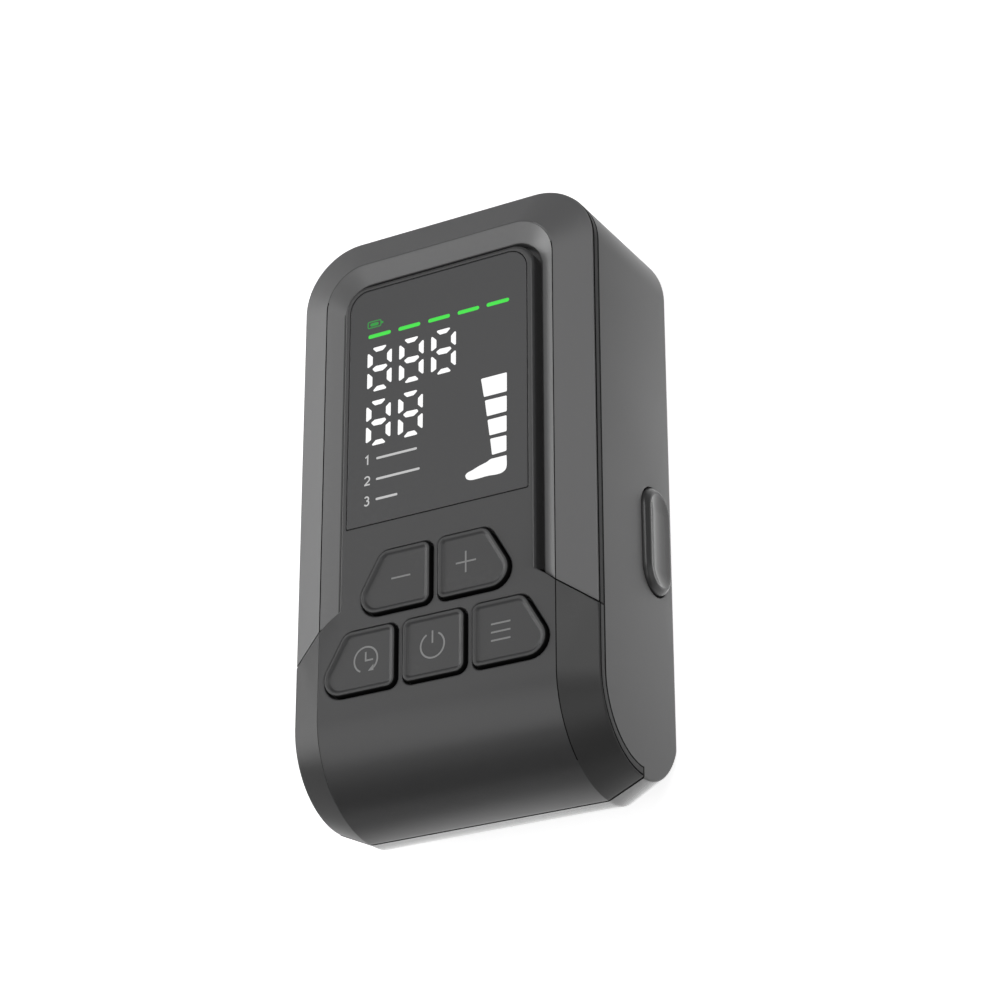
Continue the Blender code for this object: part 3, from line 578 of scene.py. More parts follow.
bezel = {
    "lipZ": 38.3,
    "bevelDrop": 2.5,  # how far the inner bevel falls from the crest to the opening
    "grooveWidth": 0.16,  # half width of the crest line
    "grooveDepth": 0.2,
    "edgeCut": (0.55, 0.2),  # fillet under the outer band, on the band and on the side
    "lineDrop": 0.46,  # shadow line under that fillet
    "lineDepth": 0.3,
    "endCut": 0.09,
    "bossRadius": 3.0,
    "bossHeights": (20.3, 40.2),
}


def seamV(x):
    return np.interp(np.abs(x), seam["x"], seam["v"])


# Points (x, v) of a track's station: feet on the seam, then an arc of its own radius about its
# corner. Columns of the section are half width, top, corner radius.
def archStation(section, side, angle):
    half, top, radius = section[:, 0], section[:, 1], section[:, 2]
    x = side * (half - radius + radius * np.cos(angle))
    return np.column_stack([x, top - radius + radius * np.sin(angle), section[:, 3]])


# Points (x, v) of a leg's station: each stands on the seam below it, raised by the lift.
def legStation(section, side, lift):
    foot = seamV(section[:, 0]) + case["gap"] / 2 + lift
    return np.column_stack([side * section[:, 0], foot, section[:, 3]])


def insetSection(section, amount):  # each point moves inwards, square to the outline there
    flat = section[:, [0, 3]]
    along = np.roll(flat, -1, axis=0) - np.roll(flat, 1, axis=0)
    along /= np.maximum(np.linalg.norm(along, axis=1), 1e-9)[:, None]
    area = (flat[:, 0] * np.roll(flat[:, 1], -1) - np.roll(flat[:, 0], -1) * flat[:, 1]).sum()
    inward = np.column_stack([-along[:, 1], along[:, 0]]) * np.sign(area)
    moved = section.copy()
    moved[:, :3] += inward[:, :1] * amount
    moved[:, 3] += inward[:, 1] * amount
    return moved


# Each point follows a track: its columns are the track's half width, top and radius, and z.
def bezelSection():
    outer, crest, opening = (np.array(tracks[t]) for t in ("outer", "crest", "opening"))
    top, edge, low = case["crestZ"], case["edgeZ"], case["partingZ"] + case["gap"] / 2
    line, depth = bezel["lineDrop"], bezel["lineDepth"]
    lip, groove = bezel["lipZ"], bezel["grooveWidth"]

    def spot(track, z):
        return np.array([*track, z])

    def toward(a, b, distance):
        return a + (b - a) * distance / np.linalg.norm((b - a)[[0, 3]])

    peak, brow = spot(crest, top), spot(opening, top - bezel["bevelDrop"])
    rim = spot(outer, edge)
    floorOfGroove = peak - (0, 0, 0, bezel["grooveDepth"])
    points = [
        (spot(outer, low), 0.3), (spot(outer, edge - 0.2 - line), 0),
        (spot(outer - depth, edge - 0.2 - line / 2), 0), (rim, bezel["edgeCut"][::-1]),
        (toward(peak, rim, groove), 0), (floorOfGroove, 0), (toward(peak, brow, groove), 0),
        (brow, 0.3), (spot(opening, lip), 0.3), (spot(opening + 2.2, lip), 0),
        (spot(crest, top - 2.4), 0), (spot(outer - 4.0, 37.7), 0), (spot(outer - 4.0, 34.4), 0),
        (spot(outer - 2.8, 34.4), 0), (spot(outer - 2.8, low), 0),
    ]
    cuts = [cut for _, cut in points]
    closed = [points[-1][0], *(p for p, _ in points), points[0][0]]
    return filletLine(closed, [0, *cuts, 0])[1:-1]


# The section swept up each leg and round each top corner. Its ends are rounded by insets of a
# quarter turn and closed flat; two screw bosses stand behind it.
def makeBezel():
    section, end = bezelSection(), bezel["endCut"]
    ends = [(insetSection(section, end * (1 - math.sin(a))), end * (1 - math.cos(a)))
            for a in np.linspace(0, np.pi / 2, 4)]

    def halfArch(side):  # from the foot up to the middle of the top
        rows = [legStation(shape, side, lift) for shape, lift in [*ends, (section, 0.5)]]
        return rows + [archStation(section, side, a) for a in np.linspace(0, np.pi / 2, 25)]

    parts = [bridge(halfArch(1) + halfArch(-1)[::-1])]
    flat, faces = fillDomain([ends[0][0][:, [0, 3]]])
    foot = seamV(flat[:, 0]) + case["gap"] / 2
    for side in (1, -1):
        parts.append((np.column_stack([side * flat[:, 0], foot, flat[:, 1]]), faces))
    for side in (1, -1):
        boss = circleLoop((side * screwSpots[1][0], screwSpots[1][1]), bezel["bossRadius"], 24)
        parts += tower([(boss, z) for z in bezel["bossHeights"]])
    piece = makePiece("bezelFrame", parts, "case", ["bezel_frame"], "shell_grey")
    low, high = case["edgeZ"] - 0.2 - bezel["lineDrop"], case["edgeZ"] - 0.2

    def strip(x, v, z):
        return (insideOf(tracks["outer"], x, v) < 0.15) & (z < low) & (z > case["partingZ"] + 0.1)

    def lines(x, v, z):
        depth, ridge = insideOf(tracks["outer"], x, v), insideOf(tracks["crest"], x, v)
        under = (depth > 0.05) & (depth < bezel["lineDepth"]) & (z > low) & (z < high)
        return under | (np.abs(ridge) < bezel["grooveWidth"]) & (z > 42) & (v < 131.5)

    def innerSlope(x, v, z):
        return (insideOf(tracks["crest"], x, v) > bezel["grooveWidth"]) & (z > 39.5)

    def openingWall(x, v, z):
        return (insideOf(tracks["opening"], x, v) > -0.36) & (z < 40.3)

    def bandEdge(x, v, z):
        return (insideOf(tracks["outer"], x, v) < 0.42) & (z > case["edgeZ"] - 0.1)

    # The inner bevel takes a lighter grey: painted light
    refinish(piece, innerSlope, "innerBevel")
    # The outer band's rounded edge takes a lighter grey: painted highlight
    refinish(piece, bandEdge, "bandEdge")
    # The bezel's fillet down into the opening takes the panel's dark grey: painted shade
    refinish(piece, openingWall, "panel_grey")
    # The strip takes a darker grey: painted shade
    refinish(piece, strip, "strip")
    refinish(piece, lines, "line")


makeBezel()


# Control panel: the display plateau, and below the seam the full width that curls down

keyPlan = {
    "height": 16.2,
    "lowV": 27.0,
    "row": 18.6,  # from one row of keys to the next
    "slant": 60.0,  # degrees of the outer sides
    "upper": (0.6, 23.6),  # inner and outer x of the two rows' outer keys
    "lower": (9.75, 33.1),
    "radii": [2.4, 4.9, 3.6, 2.4],
    "powerHalf": 8.55,
    "powerRadius": 2.6,
}


def makeKeyShapes():  # corners of each opening, counter-clockwise, and their radii
    height, low = keyPlan["height"], keyPlan["lowV"]
    slant = height / math.tan(math.radians(keyPlan["slant"]))
    shapes = {}
    for left, right, row, bottom in (("minus_key", "plus_key", "upper", low + keyPlan["row"]),
                                     ("timer_key", "mode_key", "lower", low)):
        (inner, outer), top = keyPlan[row], bottom + height
        corners = [(inner, bottom), (outer, bottom), (outer - slant, top), (inner, top)]
        shapes[left] = ([(-x, v) for x, v in corners][::-1], keyPlan["radii"][::-1])
        shapes[right] = (corners, keyPlan["radii"])
    half = keyPlan["powerHalf"]
    corners = [(-half, low), (half, low), (half, low + height), (-half, low + height)]
    shapes["power_key"] = (corners, [keyPlan["powerRadius"]] * 4)
    return shapes


keyShapes = makeKeyShapes()

panel = {
    "keyEdge": 0.42,  # rounded lead-in round each key opening
    "lensEdge": 0.12,
    "plateauEdge": 0.75,
    "seamEdge": 0.15,
    "creaseDepth": 0.13,
    "creaseHalf": 0.12,
    "creaseEnd": (35.0, 52.0),  # degrees round the curl over which the crease fades
    "curlStep": 2.5,  # degrees
    "innerRadius": 21.8,  # of the underside, from the curl's line
    "innerRim": 19.284,
    "rimRadius": 17.75,  # its rim, between the two half widths
    "rimHalf": (36.6, 37.6),
    # (how far outside the plateau's outline, height) down its wall and up inside
    "plateauWall": [(0, 41.2), (0, 37.9), (2.2, 37.9), (2.2, 36.4), (-1.8, 36.4), (-1.8, 38.3),
                    (-1.8, 40.2)],
    "midWall": 23.0,  # half way down a key's opening, from the curl's line
    "seatRadius": 22.6,  # the lens's seat, likewise
    "seatGap": 0.2,
    "seatBottom": 69.1,
    "windowBottom": 71.0,
}


# Distance of the front surface from the curl's axis: full on the crest, less down the outer
# band, less a small V along the crest line that fades as the front turns down.
def frontRadius(x, s):
    away = np.abs(x)
    ends = (case["crestRadius"], case["edgeRadius"])
    base = np.interp(away, (case["crestHalf"], case["halfWidth"]), ends)
    angle = np.degrees(np.maximum(-s, 0.0) / case["curlV"])
    start, end = panel["creaseEnd"]
    fade = np.clip((end - angle) / (end - start), 0.0, 1.0)
    notch = np.clip(1 - np.abs(away - case["crestHalf"]) / panel["creaseHalf"], 0, 1)
    return base - panel["creaseDepth"] * notch * fade


def innerRadius(x):  # of the underside: straight lines between three radii
    radii = (panel["innerRadius"], panel["innerRim"], panel["rimRadius"])
    return np.interp(np.abs(x), (case["crestHalf"], *panel["rimHalf"]), radii)


# A point of the front at x and s, where s is v above the curl's line and, below it, the arc
# length round the curl; radius is its distance from the curl's axis.
def frontPoint(x, s, radius):
    angle = np.maximum(-s, 0.0) / case["curlV"]
    v = case["curlV"] + np.maximum(s, 0.0) - radius * np.sin(angle)
    return np.stack([x + 0 * v, v, case["curlZ"] + radius * np.cos(angle)], -1)


def quarterTurn(steps=5):  # shares of (out, down) along a rounded edge
    a = np.linspace(0, np.pi / 2, steps)
    return np.sin(a), 1 - np.cos(a)


def seamS(x):  # s of the panel's edge along the seam
    return seamV(x) - case["curlV"] - case["gap"]


# Rows (x, radius) down the side: the band's fillet, shadow line, strip, its lower edge and the rim.
# The fillet is a quadratic curve about the corner between the band's slope and the side.
def sideRows():
    x, r, rim = case["halfWidth"], case["edgeRadius"], panel["rimRadius"]
    corner, (lead, leave) = np.array([x, r]), bezel["edgeCut"]
    slope = np.array([case["crestHalf"] - x, case["crestRadius"] - r])
    start, end = corner + slope / np.linalg.norm(slope) * lead, corner - (0, leave)
    t = np.linspace(0, 1, 5)[:, None]
    fillet = (1 - t) ** 2 * start + 2 * t * (1 - t) * corner + t**2 * end
    line, (rimInner, rimOuter) = r - leave, panel["rimHalf"]
    return np.array([
        *fillet, (x - bezel["lineDepth"], line - bezel["lineDrop"] / 2), (x, line - bezel["lineDrop"]),
        (x, rim + 0.15), (x - 0.05, rim + 0.05), (x - 0.15, rim), (rimOuter, rim),
        (rimInner, panel["innerRim"]),
    ])


# Half the panel's boundary, then its mirror image. Each point of it is a list of (x, s, radius),
# from the front's surface over a rounded edge and on to the underside.
def panelRing(columns, lowS, roundSide):
    out, down = quarterTurn()
    edge, wide, side = panel["seamEdge"], panel["plateauEdge"], sideRows()
    after = len(side) - len(out)  # steps after the rounded edge
    shift = np.concatenate([edge * (out - 1), np.zeros(after)]) + edge
    drop = np.concatenate([down * edge, np.full(after, edge)])
    toInner = np.concatenate([0 * out, np.linspace(0, 1, after + 1)[1:]])

    def onFront(x, s, way):
        radius, inner = frontRadius(x, s), innerRadius(x)
        r = radius - drop + (inner - radius + edge) * toInner
        return np.column_stack([np.full(len(side), x), s + way * shift, r])

    def onSide(s, way=0):
        return np.column_stack([side[:, 0], s + way * shift, side[:, 1]])

    low = [*(onFront(x, lowS, -1) for x in columns), onSide(lowS, -1)]
    up = [*map(onSide, roundSide), onSide(seamS(case["halfWidth"]), 1)]
    up += [onFront(x, seamS(x), 1) for x in columns[columns > 26.5][::-1]]
    half, top, radius = tracks["plateau"]
    notch, wallTop = half - wide, case["crestRadius"] - wide
    wall = np.linspace(wallTop, innerRadius(notch), after + 1)[1:]
    across = notch + np.concatenate([wide * out, np.full(after, wide)])
    r = np.concatenate([case["crestRadius"] - wide * down, wall])
    up.append(np.column_stack([across, seamS(notch) + shift, r]))
    # The plateau's rounded edge, then its wall
    rows = [(wide * (o - 1), case["crestZ"] - wide * d) for o, d in zip(out, down)]
    grownBy, heights = np.array([*rows, *panel["plateauWall"]]).T
    arch = [(half + grownBy, 0 * grownBy + v) for v in (seam["v"][0] + 0.3, 90.0)]
    arch += [(half - radius + (radius + grownBy) * math.cos(a),
              top - radius + (radius + grownBy) * math.sin(a)) for a in np.linspace(0, np.pi / 2, 17)]
    up += [np.column_stack([x, v - case["curlV"], heights - case["curlZ"]]) for x, v in arch]
    low, up, mirror = np.array(low), np.array(up), (-1, 1, 1)
    return np.concatenate([low[:0:-1] * mirror, low, up, up[::-1] * mirror]).transpose(1, 0, 2)


# The boundary, then rounded openings for the five keys and the lens, then the front's surface
# and the underside, each as triangles over what the openings leave.
def makePanel():
    out, down = quarterTurn()
    crest, skin, ridge = case["crestRadius"], panel["innerRadius"], case["crestHalf"]
    lowEnd = -case["curlV"] * math.acos(0.15 / crest)
    lowS = lowEnd + panel["seamEdge"]
    turns = -case["curlV"] * np.radians(np.arange(0, math.degrees(-lowEnd / crest), panel["curlStep"]))
    rounds = turns[turns > lowS + 0.2]
    crease = panel["creaseHalf"]
    near = [-0.6, -0.3, -crease, 0, crease, 0.3, 0.6]  # columns close to the crease, from the ridge
    columns = np.array([0, 5, 10, 15, 20, 25, 29, *(ridge + step for step in near), 34, 36.4])
    ring = panelRing(columns, lowS, [*rounds[::-1], 6.0, 12.0])
    parts = [bridge(frontPoint(*ring.transpose(2, 0, 1)))]
    topLoops, bottomLoops, supports = [ring[0, :, :2]], [ring[-1, :, :2]], []

    def opening(outline, edge, offsets, radii):  # rounded over, then down by the given steps
        offsets, radii = [*(edge * (1 - out)), *offsets], [*(crest - edge * down), *radii]
        loops = [outline(o) - (0, case["curlV"]) for o in offsets]
        parts.append(bridge([frontPoint(*flatAt(p, r).T) for p, r in zip(loops, radii)]))
        topLoops.append(loops[0])
        bottomLoops.append(loops[-1])
        support = outline(edge + 0.3) - (0, case["curlV"])
        supports.append(np.vstack([support, support[:1]]))

    def lensSeat(o):  # the seat's outline, or the window's for the wall below the seat
        if o < -0.5:
            return archLoop(tracks["window"], panel["windowBottom"], 0.0, 3.0)
        return archLoop(grown(tracks["lens"], panel["seatGap"]), panel["seatBottom"], o)

    for corners, radii in keyShapes.values():
        opening(lambda o, c=corners, r=radii: roundedLoop(c, r, o), panel["keyEdge"],
                [0, 0], [panel["midWall"], skin])
    seat = panel["seatRadius"]
    opening(lensSeat, panel["lensEdge"], [0, -1, -1], [seat, seat, skin])
    # The front's surface and the underside are filled along lines across and up the panel
    columns = np.concatenate([-columns[:0:-1], columns])
    sideX, rimX = ring[0, :, 0].max(), panel["rimHalf"][0]
    wide = np.array([-sideX, 0.3 - sideX, *columns, sideX - 0.3, sideX])
    lines = [flatAt(wide, s) for s in rounds]
    lines += [np.array([(x, 0.0), (x, seamS(x))]) for x in columns if 29.5 < abs(x) < 33]
    sideEnd = seamS(case["halfWidth"]) - 0.1
    lines += [np.array([(x, 0.0), (x, sideEnd)]) for x in (0.3 - sideX, sideX - 0.3)]
    inner = archLoop(tracks["plateau"], 40.0, -panel["plateauEdge"] - 0.3) - (0, case["curlV"])
    inner = inner[inner[:, 1] > seamS(0)]
    lines.append(inner[np.argsort(-np.arctan2(inner[:, 0], inner[:, 1] - 60.0))])
    low = np.array([-rimX, *columns[np.abs(columns) < 36], rimX])
    for loops, across, surface in ((topLoops, [*lines, *supports], frontRadius),
                                   (bottomLoops, [flatAt(low, s) for s in rounds],
                                    lambda x, s: innerRadius(x))):
        flat, faces = fillDomain(loops, across)
        x, s = flat.T
        parts.append((frontPoint(x, s, surface(x, s)), faces))
    dressPanel(makePiece("controlPanel", parts, "case", ["control_panel"], "panel_grey"))


# Darker greys painted on as shade: the outer bands, the plateau's left edge and the strip; painted
# shadow in the shadow line and the crease
def dressPanel(piece):
    edgeX, edgeR, ridge = case["halfWidth"], case["edgeRadius"], case["crestHalf"]
    line, depth = bezel["lineDrop"], bezel["lineDepth"]

    def roundCurl(v, z):  # distance from the curl's line, and degrees round it
        drop, rise = np.maximum(case["curlV"] - v, 0), z - case["curlZ"]
        return np.hypot(drop, rise), np.degrees(np.arctan2(drop, rise))

    def shadowLines(x, v, z):
        radius, angle = roundCurl(v, z)
        under = (np.abs(x) > edgeX - depth) & (np.abs(x) < edgeX - 0.05)
        under &= (radius < edgeR - 0.2) & (radius > edgeR - 0.2 - line)
        inCrease = (np.abs(x - ridge) < panel["creaseHalf"]) & (radius > case["crestRadius"] - 0.5)
        return under | inCrease & (angle < panel["creaseEnd"][1])

    def strip(x, v, z):
        return (np.abs(x) > edgeX - 0.2) & (roundCurl(v, z)[0] < edgeR - 0.2 - line)

    def outerBand(x, v, z):
        return (np.abs(x) > ridge) & (roundCurl(v, z)[0] > edgeR - 0.15)

    def plateauLeft(x, v, z):
        onEdge = insideOf(tracks["plateau"], x, v) < panel["plateauEdge"]
        return (x < 0) & (v > seam["v"][0]) & (z > case["crestZ"] - 1.4) & onEdge

    refinish(piece, outerBand, "band")
    refinish(piece, plateauLeft, "band")
    refinish(piece, strip, "strip")
    refinish(piece, shadowLines, "line")


makePanel()


# Display lens

lens = {"bottomV": 69.3, "lowZ": 41.3, "topZ": 42.4, "edge": 0.12}


# A low tower of the lens's outline, its top edge rounded by a quarter turn.
def makeLens():
    out, down = quarterTurn(4)
    edge, top = lens["edge"], lens["topZ"]
    rounded = [(edge * (o - 1), top - edge * d) for o, d in zip(out[::-1], down[::-1])]
    levels = [(0.0, lens["lowZ"]), *rounded, (-edge - 0.3, top)]
    loops = [(archLoop(tracks["lens"], lens["bottomV"], offset), z) for offset, z in levels]
    makePiece("displayLens", tower(loops), "case", ["display_lens"], "lens_grey")


makeLens()


# Keys: a raised rim, an inner slope and a flat dish

key = {
    "topZ": 43.3,
    "clearance": 0.6,
    "rimOut": 0.16,  # fillet outside the rim
    "rimWidth": 0.3,
    "slopeWidth": 0.9,
    "dishDepth": 0.5,
    "flange": 0.4,
    "flangeZ": (38.6, 39.8),
    "boot": 0.14,
    "bootDrop": 0.18,
    "stem": 1.6,
    "stemZ": (37.9, 38.9),
    "middles": {  # of the keys' stems
        "minus_key": (-9.5, 53.7),
        "plus_key": (9.5, 53.7),
        "timer_key": (-19.4, 35.1),
        "power_key": (0.0, 35.1),
        "mode_key": (19.4, 35.1),
    },
}


# (Offset from the opening, height) from the flange up to the dish. The rim is rounded outside.
# The slope falls by three times the share of its width squared, less twice that share cubed.
def keyProfile():
    gap, top = -key["clearance"], key["topZ"]
    a = np.linspace(0, np.pi / 2, 6)
    out = key["rimOut"]
    rim = [(gap - out * (1 - math.cos(t)), top - out * (1 - math.sin(t))) for t in a]
    start = gap - out - key["rimWidth"]
    t = np.linspace(0, 1, 9)
    ease = t * t * (3 - 2 * t)
    slope = [(start - key["slopeWidth"] * s, top - key["dishDepth"] * e) for s, e in zip(t, ease)]
    flat = (start - key["slopeWidth"] - 0.3, top - key["dishDepth"])
    flange, (low, high) = key["flange"], key["flangeZ"]
    return [(flange, low), (flange, high), (gap, high), (gap, 41.5), *rim, *slope, flat]


# A near-black sleeve fills part of the gap round each cap: painted shade in the gap
def makeGapShadeSleeve(corners, radii):
    inner, outer = -key["clearance"] - 0.02, -key["clearance"] + key["boot"]
    low, high = key["flangeZ"][1] + 0.1, key["topZ"] - key["bootDrop"]
    ring = [(inner, low), (outer, low), (outer, high - 0.05), (outer - 0.05, high), (inner, high)]
    return [bridge([flatAt(roundedLoop(corners, radii, o), z) for o, z in [*ring, ring[0]]])]


# Each cap is a tower of its opening's outline by that profile, and has a round stem below.
def makeKeys():
    def slopes(x, v, z):
        return (z > key["topZ"] - key["dishDepth"] + 0.02) & (z < key["topZ"] - key["rimOut"])

    for name, (corners, radii) in keyShapes.items():
        parts = tower([(roundedLoop(corners, radii, offset), z) for offset, z in keyProfile()])
        stem = circleLoop(key["middles"][name], key["stem"], 24)
        parts += tower([(stem, z) for z in key["stemZ"]])
        title = name.split("_")[0] + "Key"
        cap = makePiece(title + "Cap", parts, name, [name], "key_grey")
        # The slopes take a darker grey: painted shade
        refinish(cap, slopes, "keySlopePaintedShade")
        makePiece(title + "GapShadeSleeve", makeGapShadeSleeve(corners, radii), name, finish="gapShade")


makeKeys()


# Marks printed in the key dishes

keyMark = {
    "width": 0.42,
    "proud": 0.015,
    "depth": 0.05,
    "arrow": [(-17.45, 32.35), (-15.95, 32.3), (-16.0, 33.8)],  # on the timer's ring
    "strokes": {  # pen strokes (x, v) of each mark
        "minus_key": [[(-11.5, 54.0), (-6.4, 54.0)]],
        "plus_key": [[(5.7, 54.0), (8.08, 54.0)], [(8.52, 54.0), (11.0, 54.0)],
                     [(8.3, 51.35), (8.3, 56.65)]],
        "timer_key": [arcLine((-18.05, 35.25), 3.1, -50, 242),
                      [(-18.1, 37.1), (-18.1, 35.0), (-16.1, 35.0)]],
        "power_key": [arcLine((-0.35, 35.3), 3.1, 120, 420), [(-0.35, 35.8), (-0.35, 38.8)]],
        "mode_key": [[(14.9, v), (19.9, v)] for v in (33.1, 35.1, 37.1)],
    },
}


# Pen strokes of even width, sunk a little into the dish.
def makeKeyMarks():
    dish = key["topZ"] - key["dishDepth"]
    for name, strokes in keyMark["strokes"].items():
        loops = [strokeLoop(line, keyMark["width"]) for line in strokes]
        if name == "timer_key":
            loops.append(keyMark["arrow"])
        parts = prints(loops, dish - keyMark["depth"], dish + keyMark["proud"])
        makePiece(name.split("_")[0] + "KeyMark", parts, name, finish="mark")


makeKeyMarks()


# Lit figures on the display: a chamber bar for each leg chamber, the pressure and time digits,
# three numbered programmes and the leg with its five chambers

display = {
    "low": 42.36,
    "high": 42.42,
    "pitch": 8.85,  # from digit to digit
    "rowTop": (-19.3, 103.9),
    "rowLow": (-19.4, 89.6),
    "digitScale": (0.965, 1.01),
    "digitInset": -0.03,  # the bars of a digit are this much thinner on each side
    "chamberV": 118.9,
    "chamberRadius": 0.5,
    "chambers": ((-19.3, -12.7), (-10.9, -4.5), (-2.6, 3.7), (5.5, 11.7), (13.4, 19.8)),
    "programmes": ((1, 84.9, 11.6), (2, 79.5, 12.4), (3, 74.3, 6.4)),  # number, v, bar's length
}

# Corners of a digit's seven bars, from its lower left corner
digitShapes = [
    [(1.2, 11.7), (2.5, 10.4), (4.4, 10.45), (5.9, 11.7)],
    [(0.0, 10.8), (0.0, 6.45), (1.55, 7.25), (1.55, 9.3)],
    [(7.1, 10.6), (5.65, 9.4), (5.65, 7.7), (7.1, 6.25)],
    [(1.35, 6.1), (2.2, 5.15), (4.5, 5.05), (5.9, 5.95), (5.45, 6.6), (2.5, 6.7)],
    [(0.0, 5.55), (0.0, 0.9), (1.55, 1.6), (1.55, 3.95)],
    [(7.1, 5.45), (5.65, 4.55), (5.65, 2.4), (7.1, 0.95)],
    [(1.35, 0.0), (5.95, 0.0), (4.75, 1.3), (2.85, 1.3)],
]
legChambers = [
    [(12.85, 94.9), (18.95, 94.9), (18.95, 99.8), (12.05, 99.8)],
    [(13.65, 89.7), (18.9, 89.75), (18.9, 93.8), (13.1, 93.9)],
    [(14.35, 84.6), (18.85, 84.65), (18.85, 88.7), (13.8, 88.7)],
    [(15.0, 79.45), (18.8, 79.65), (18.8, 83.6), (14.5, 83.7)],
]
footShape = [
    (18.8, 78.5), (18.6, 78.5), (14.9, 78.5), (14.6, 78.5), (13.6, 77.95), (12.6, 77.7), (11.2, 77.35),
    (9.9, 76.8), (8.5, 76.5), (7.8, 75.9), (8.2, 74.8), (9.4, 74.3), (11.3, 74.3), (13.9, 74.45),
    (16.0, 74.2), (17.6, 74.3), (18.6, 74.9), (18.9, 76.0), (18.8, 78.3),
]


def barsOfDigit(corner):
    return [roundedLoop(np.array(bar) * display["digitScale"] + corner, [0.12] * len(bar),
                        display["digitInset"], 2) for bar in digitShapes]


def numeralLine(number):  # pen strokes of 1, 2 or 3 in a box 1.5 wide and 2.3 high
    if number == 1:
        return [[(0.2, 1.85), (0.85, 2.3), (0.85, 0.0)]]
    if number == 2:
        bow = arcLine((0.75, 1.62), 0.68, 160, -35, 14)
        return [[*bow, (0.15, 0.2)], [(0.02, 0.18), (1.55, 0.18)]]
    upper, lower = arcLine((0.7, 1.72), 0.55, 150, -90, 14), arcLine((0.7, 0.66), 0.62, 90, -150, 14)
    return [upper, lower]


# Thin prints, a little above and below the lens's top.
def makeDisplay():
    low, high = display["low"], display["high"]
    radius = display["chamberRadius"]
    chambers = [stadiumLoop(((a + b) / 2, display["chamberV"]), (b - a) / 2 - radius - 0.15, radius, 8)
                for a, b in display["chambers"]]
    # The battery: its outline drawn from the middle of the lower side, its charge and its cap
    cell = roundedLoop([(-19.3, 121.3), (-15.7, 121.3), (-15.7, 122.95), (-19.3, 122.95)], [0.35] * 4)
    battery = [strokeLoop([(-17.5, 121.3), *cell[9:], *cell[:9], (-17.51, 121.3)], 0.24),
               stadiumLoop((-17.5, 122.1), 0.75, 0.42, 6), stadiumLoop((-15.35, 122.12), 0.05, 0.3, 6)]
    makePiece("chamberBars", prints(chambers, low, high), "case", finish="green")
    makePiece("batteryMark", prints(battery, low, high), "case", finish="greenDim")
    digits = []
    for (x, v), columns in ((display["rowTop"], 3), (display["rowLow"], 2)):
        for column in range(columns):
            digits += barsOfDigit((x + display["pitch"] * column, v))
    makePiece("displayDigits", prints(digits, low, high), "case", finish="white")
    leg = [roundedLoop(corners, [0.15] * 4, 0.0, 3) for corners in legChambers] + [softened(footShape)]
    makePiece("displayLeg", prints(leg, low, high), "case", finish="white")
    rows = []
    for number, v, length in display["programmes"]:
        rows += [strokeLoop(np.array(line) + (-19.6, v), 0.36) for line in numeralLine(number)]
        rows.append(stadiumLoop((-16.6 + length / 2, v + 1.15), length / 2 - 0.5, 0.3, 6))
    makePiece("programmeRows", prints(rows, low, high), "case", finish="whiteDim")


makeDisplay()


# Rear casing

rear = {
    "wall": 2.4,
    "edgeRadius": 1.8,  # round the back face
    "midCentre": 16.0,  # centre line and radius of the curl under the bottom end, at mid width
    "sideCentre": 22.0,
    "sideRadius": 18.0,  # and at the side walls
    "sideV": 4.0,  # here the side walls end,
    "facet": math.hypot(8.8, 4.0),  # and slanting faces of this length reach the bottom end
    "straightV": 40.0,  # above this the walls don't lean with the curl
    "lowestRim": 18.25,
    "softenBy": 0.45,  # the outline's corners are rounded over this length
    "partingEdge": 0.2,
    "darkBelow": 0.12,  # how far the painted shadow along the parting gap reaches below that edge
    "holeEdge": 0.3,
    "steps": 18,
    "buttonHole": ((64.6, 9.7), 7.2, 6.5),  # (v, z) of the middle, half straight part, radius
    "socketHole": ((0.0, 11.0), 15.2, 6.1),  # the same with x for v, in the top end
    "portHole": ((0.0, 29.5), 2.87, 1.9),
    # (radius, z) of a screw's counterbore, its bore and the boss round it, down to the floor
    "bore": [(2.9, 6.8), (2.8, 7.0), (1.45, 7.0), (1.45, 20.0), (4.2, 20.0)],
}
sideTop = case["length"] - case["corner"]  # v where the side wall meets the top corner's arc
# Lengths along half the outline, from the middle of the top end: start, arc, side, facet, bottom
rearBreaks = np.cumsum([0, case["halfWidth"] - case["corner"], case["corner"] * math.pi / 2,
                        sideTop - rear["sideV"], rear["facet"], case["crestHalf"]])


def curledEnd(z, depth, centre, radius, end):  # v of the bottom end at a height
    drop = np.maximum(radius - z, 0.0)
    reach = radius - depth
    return np.where(drop > 0, centre - np.sqrt(np.maximum(reach**2 - drop**2, 0.0)), end + depth)


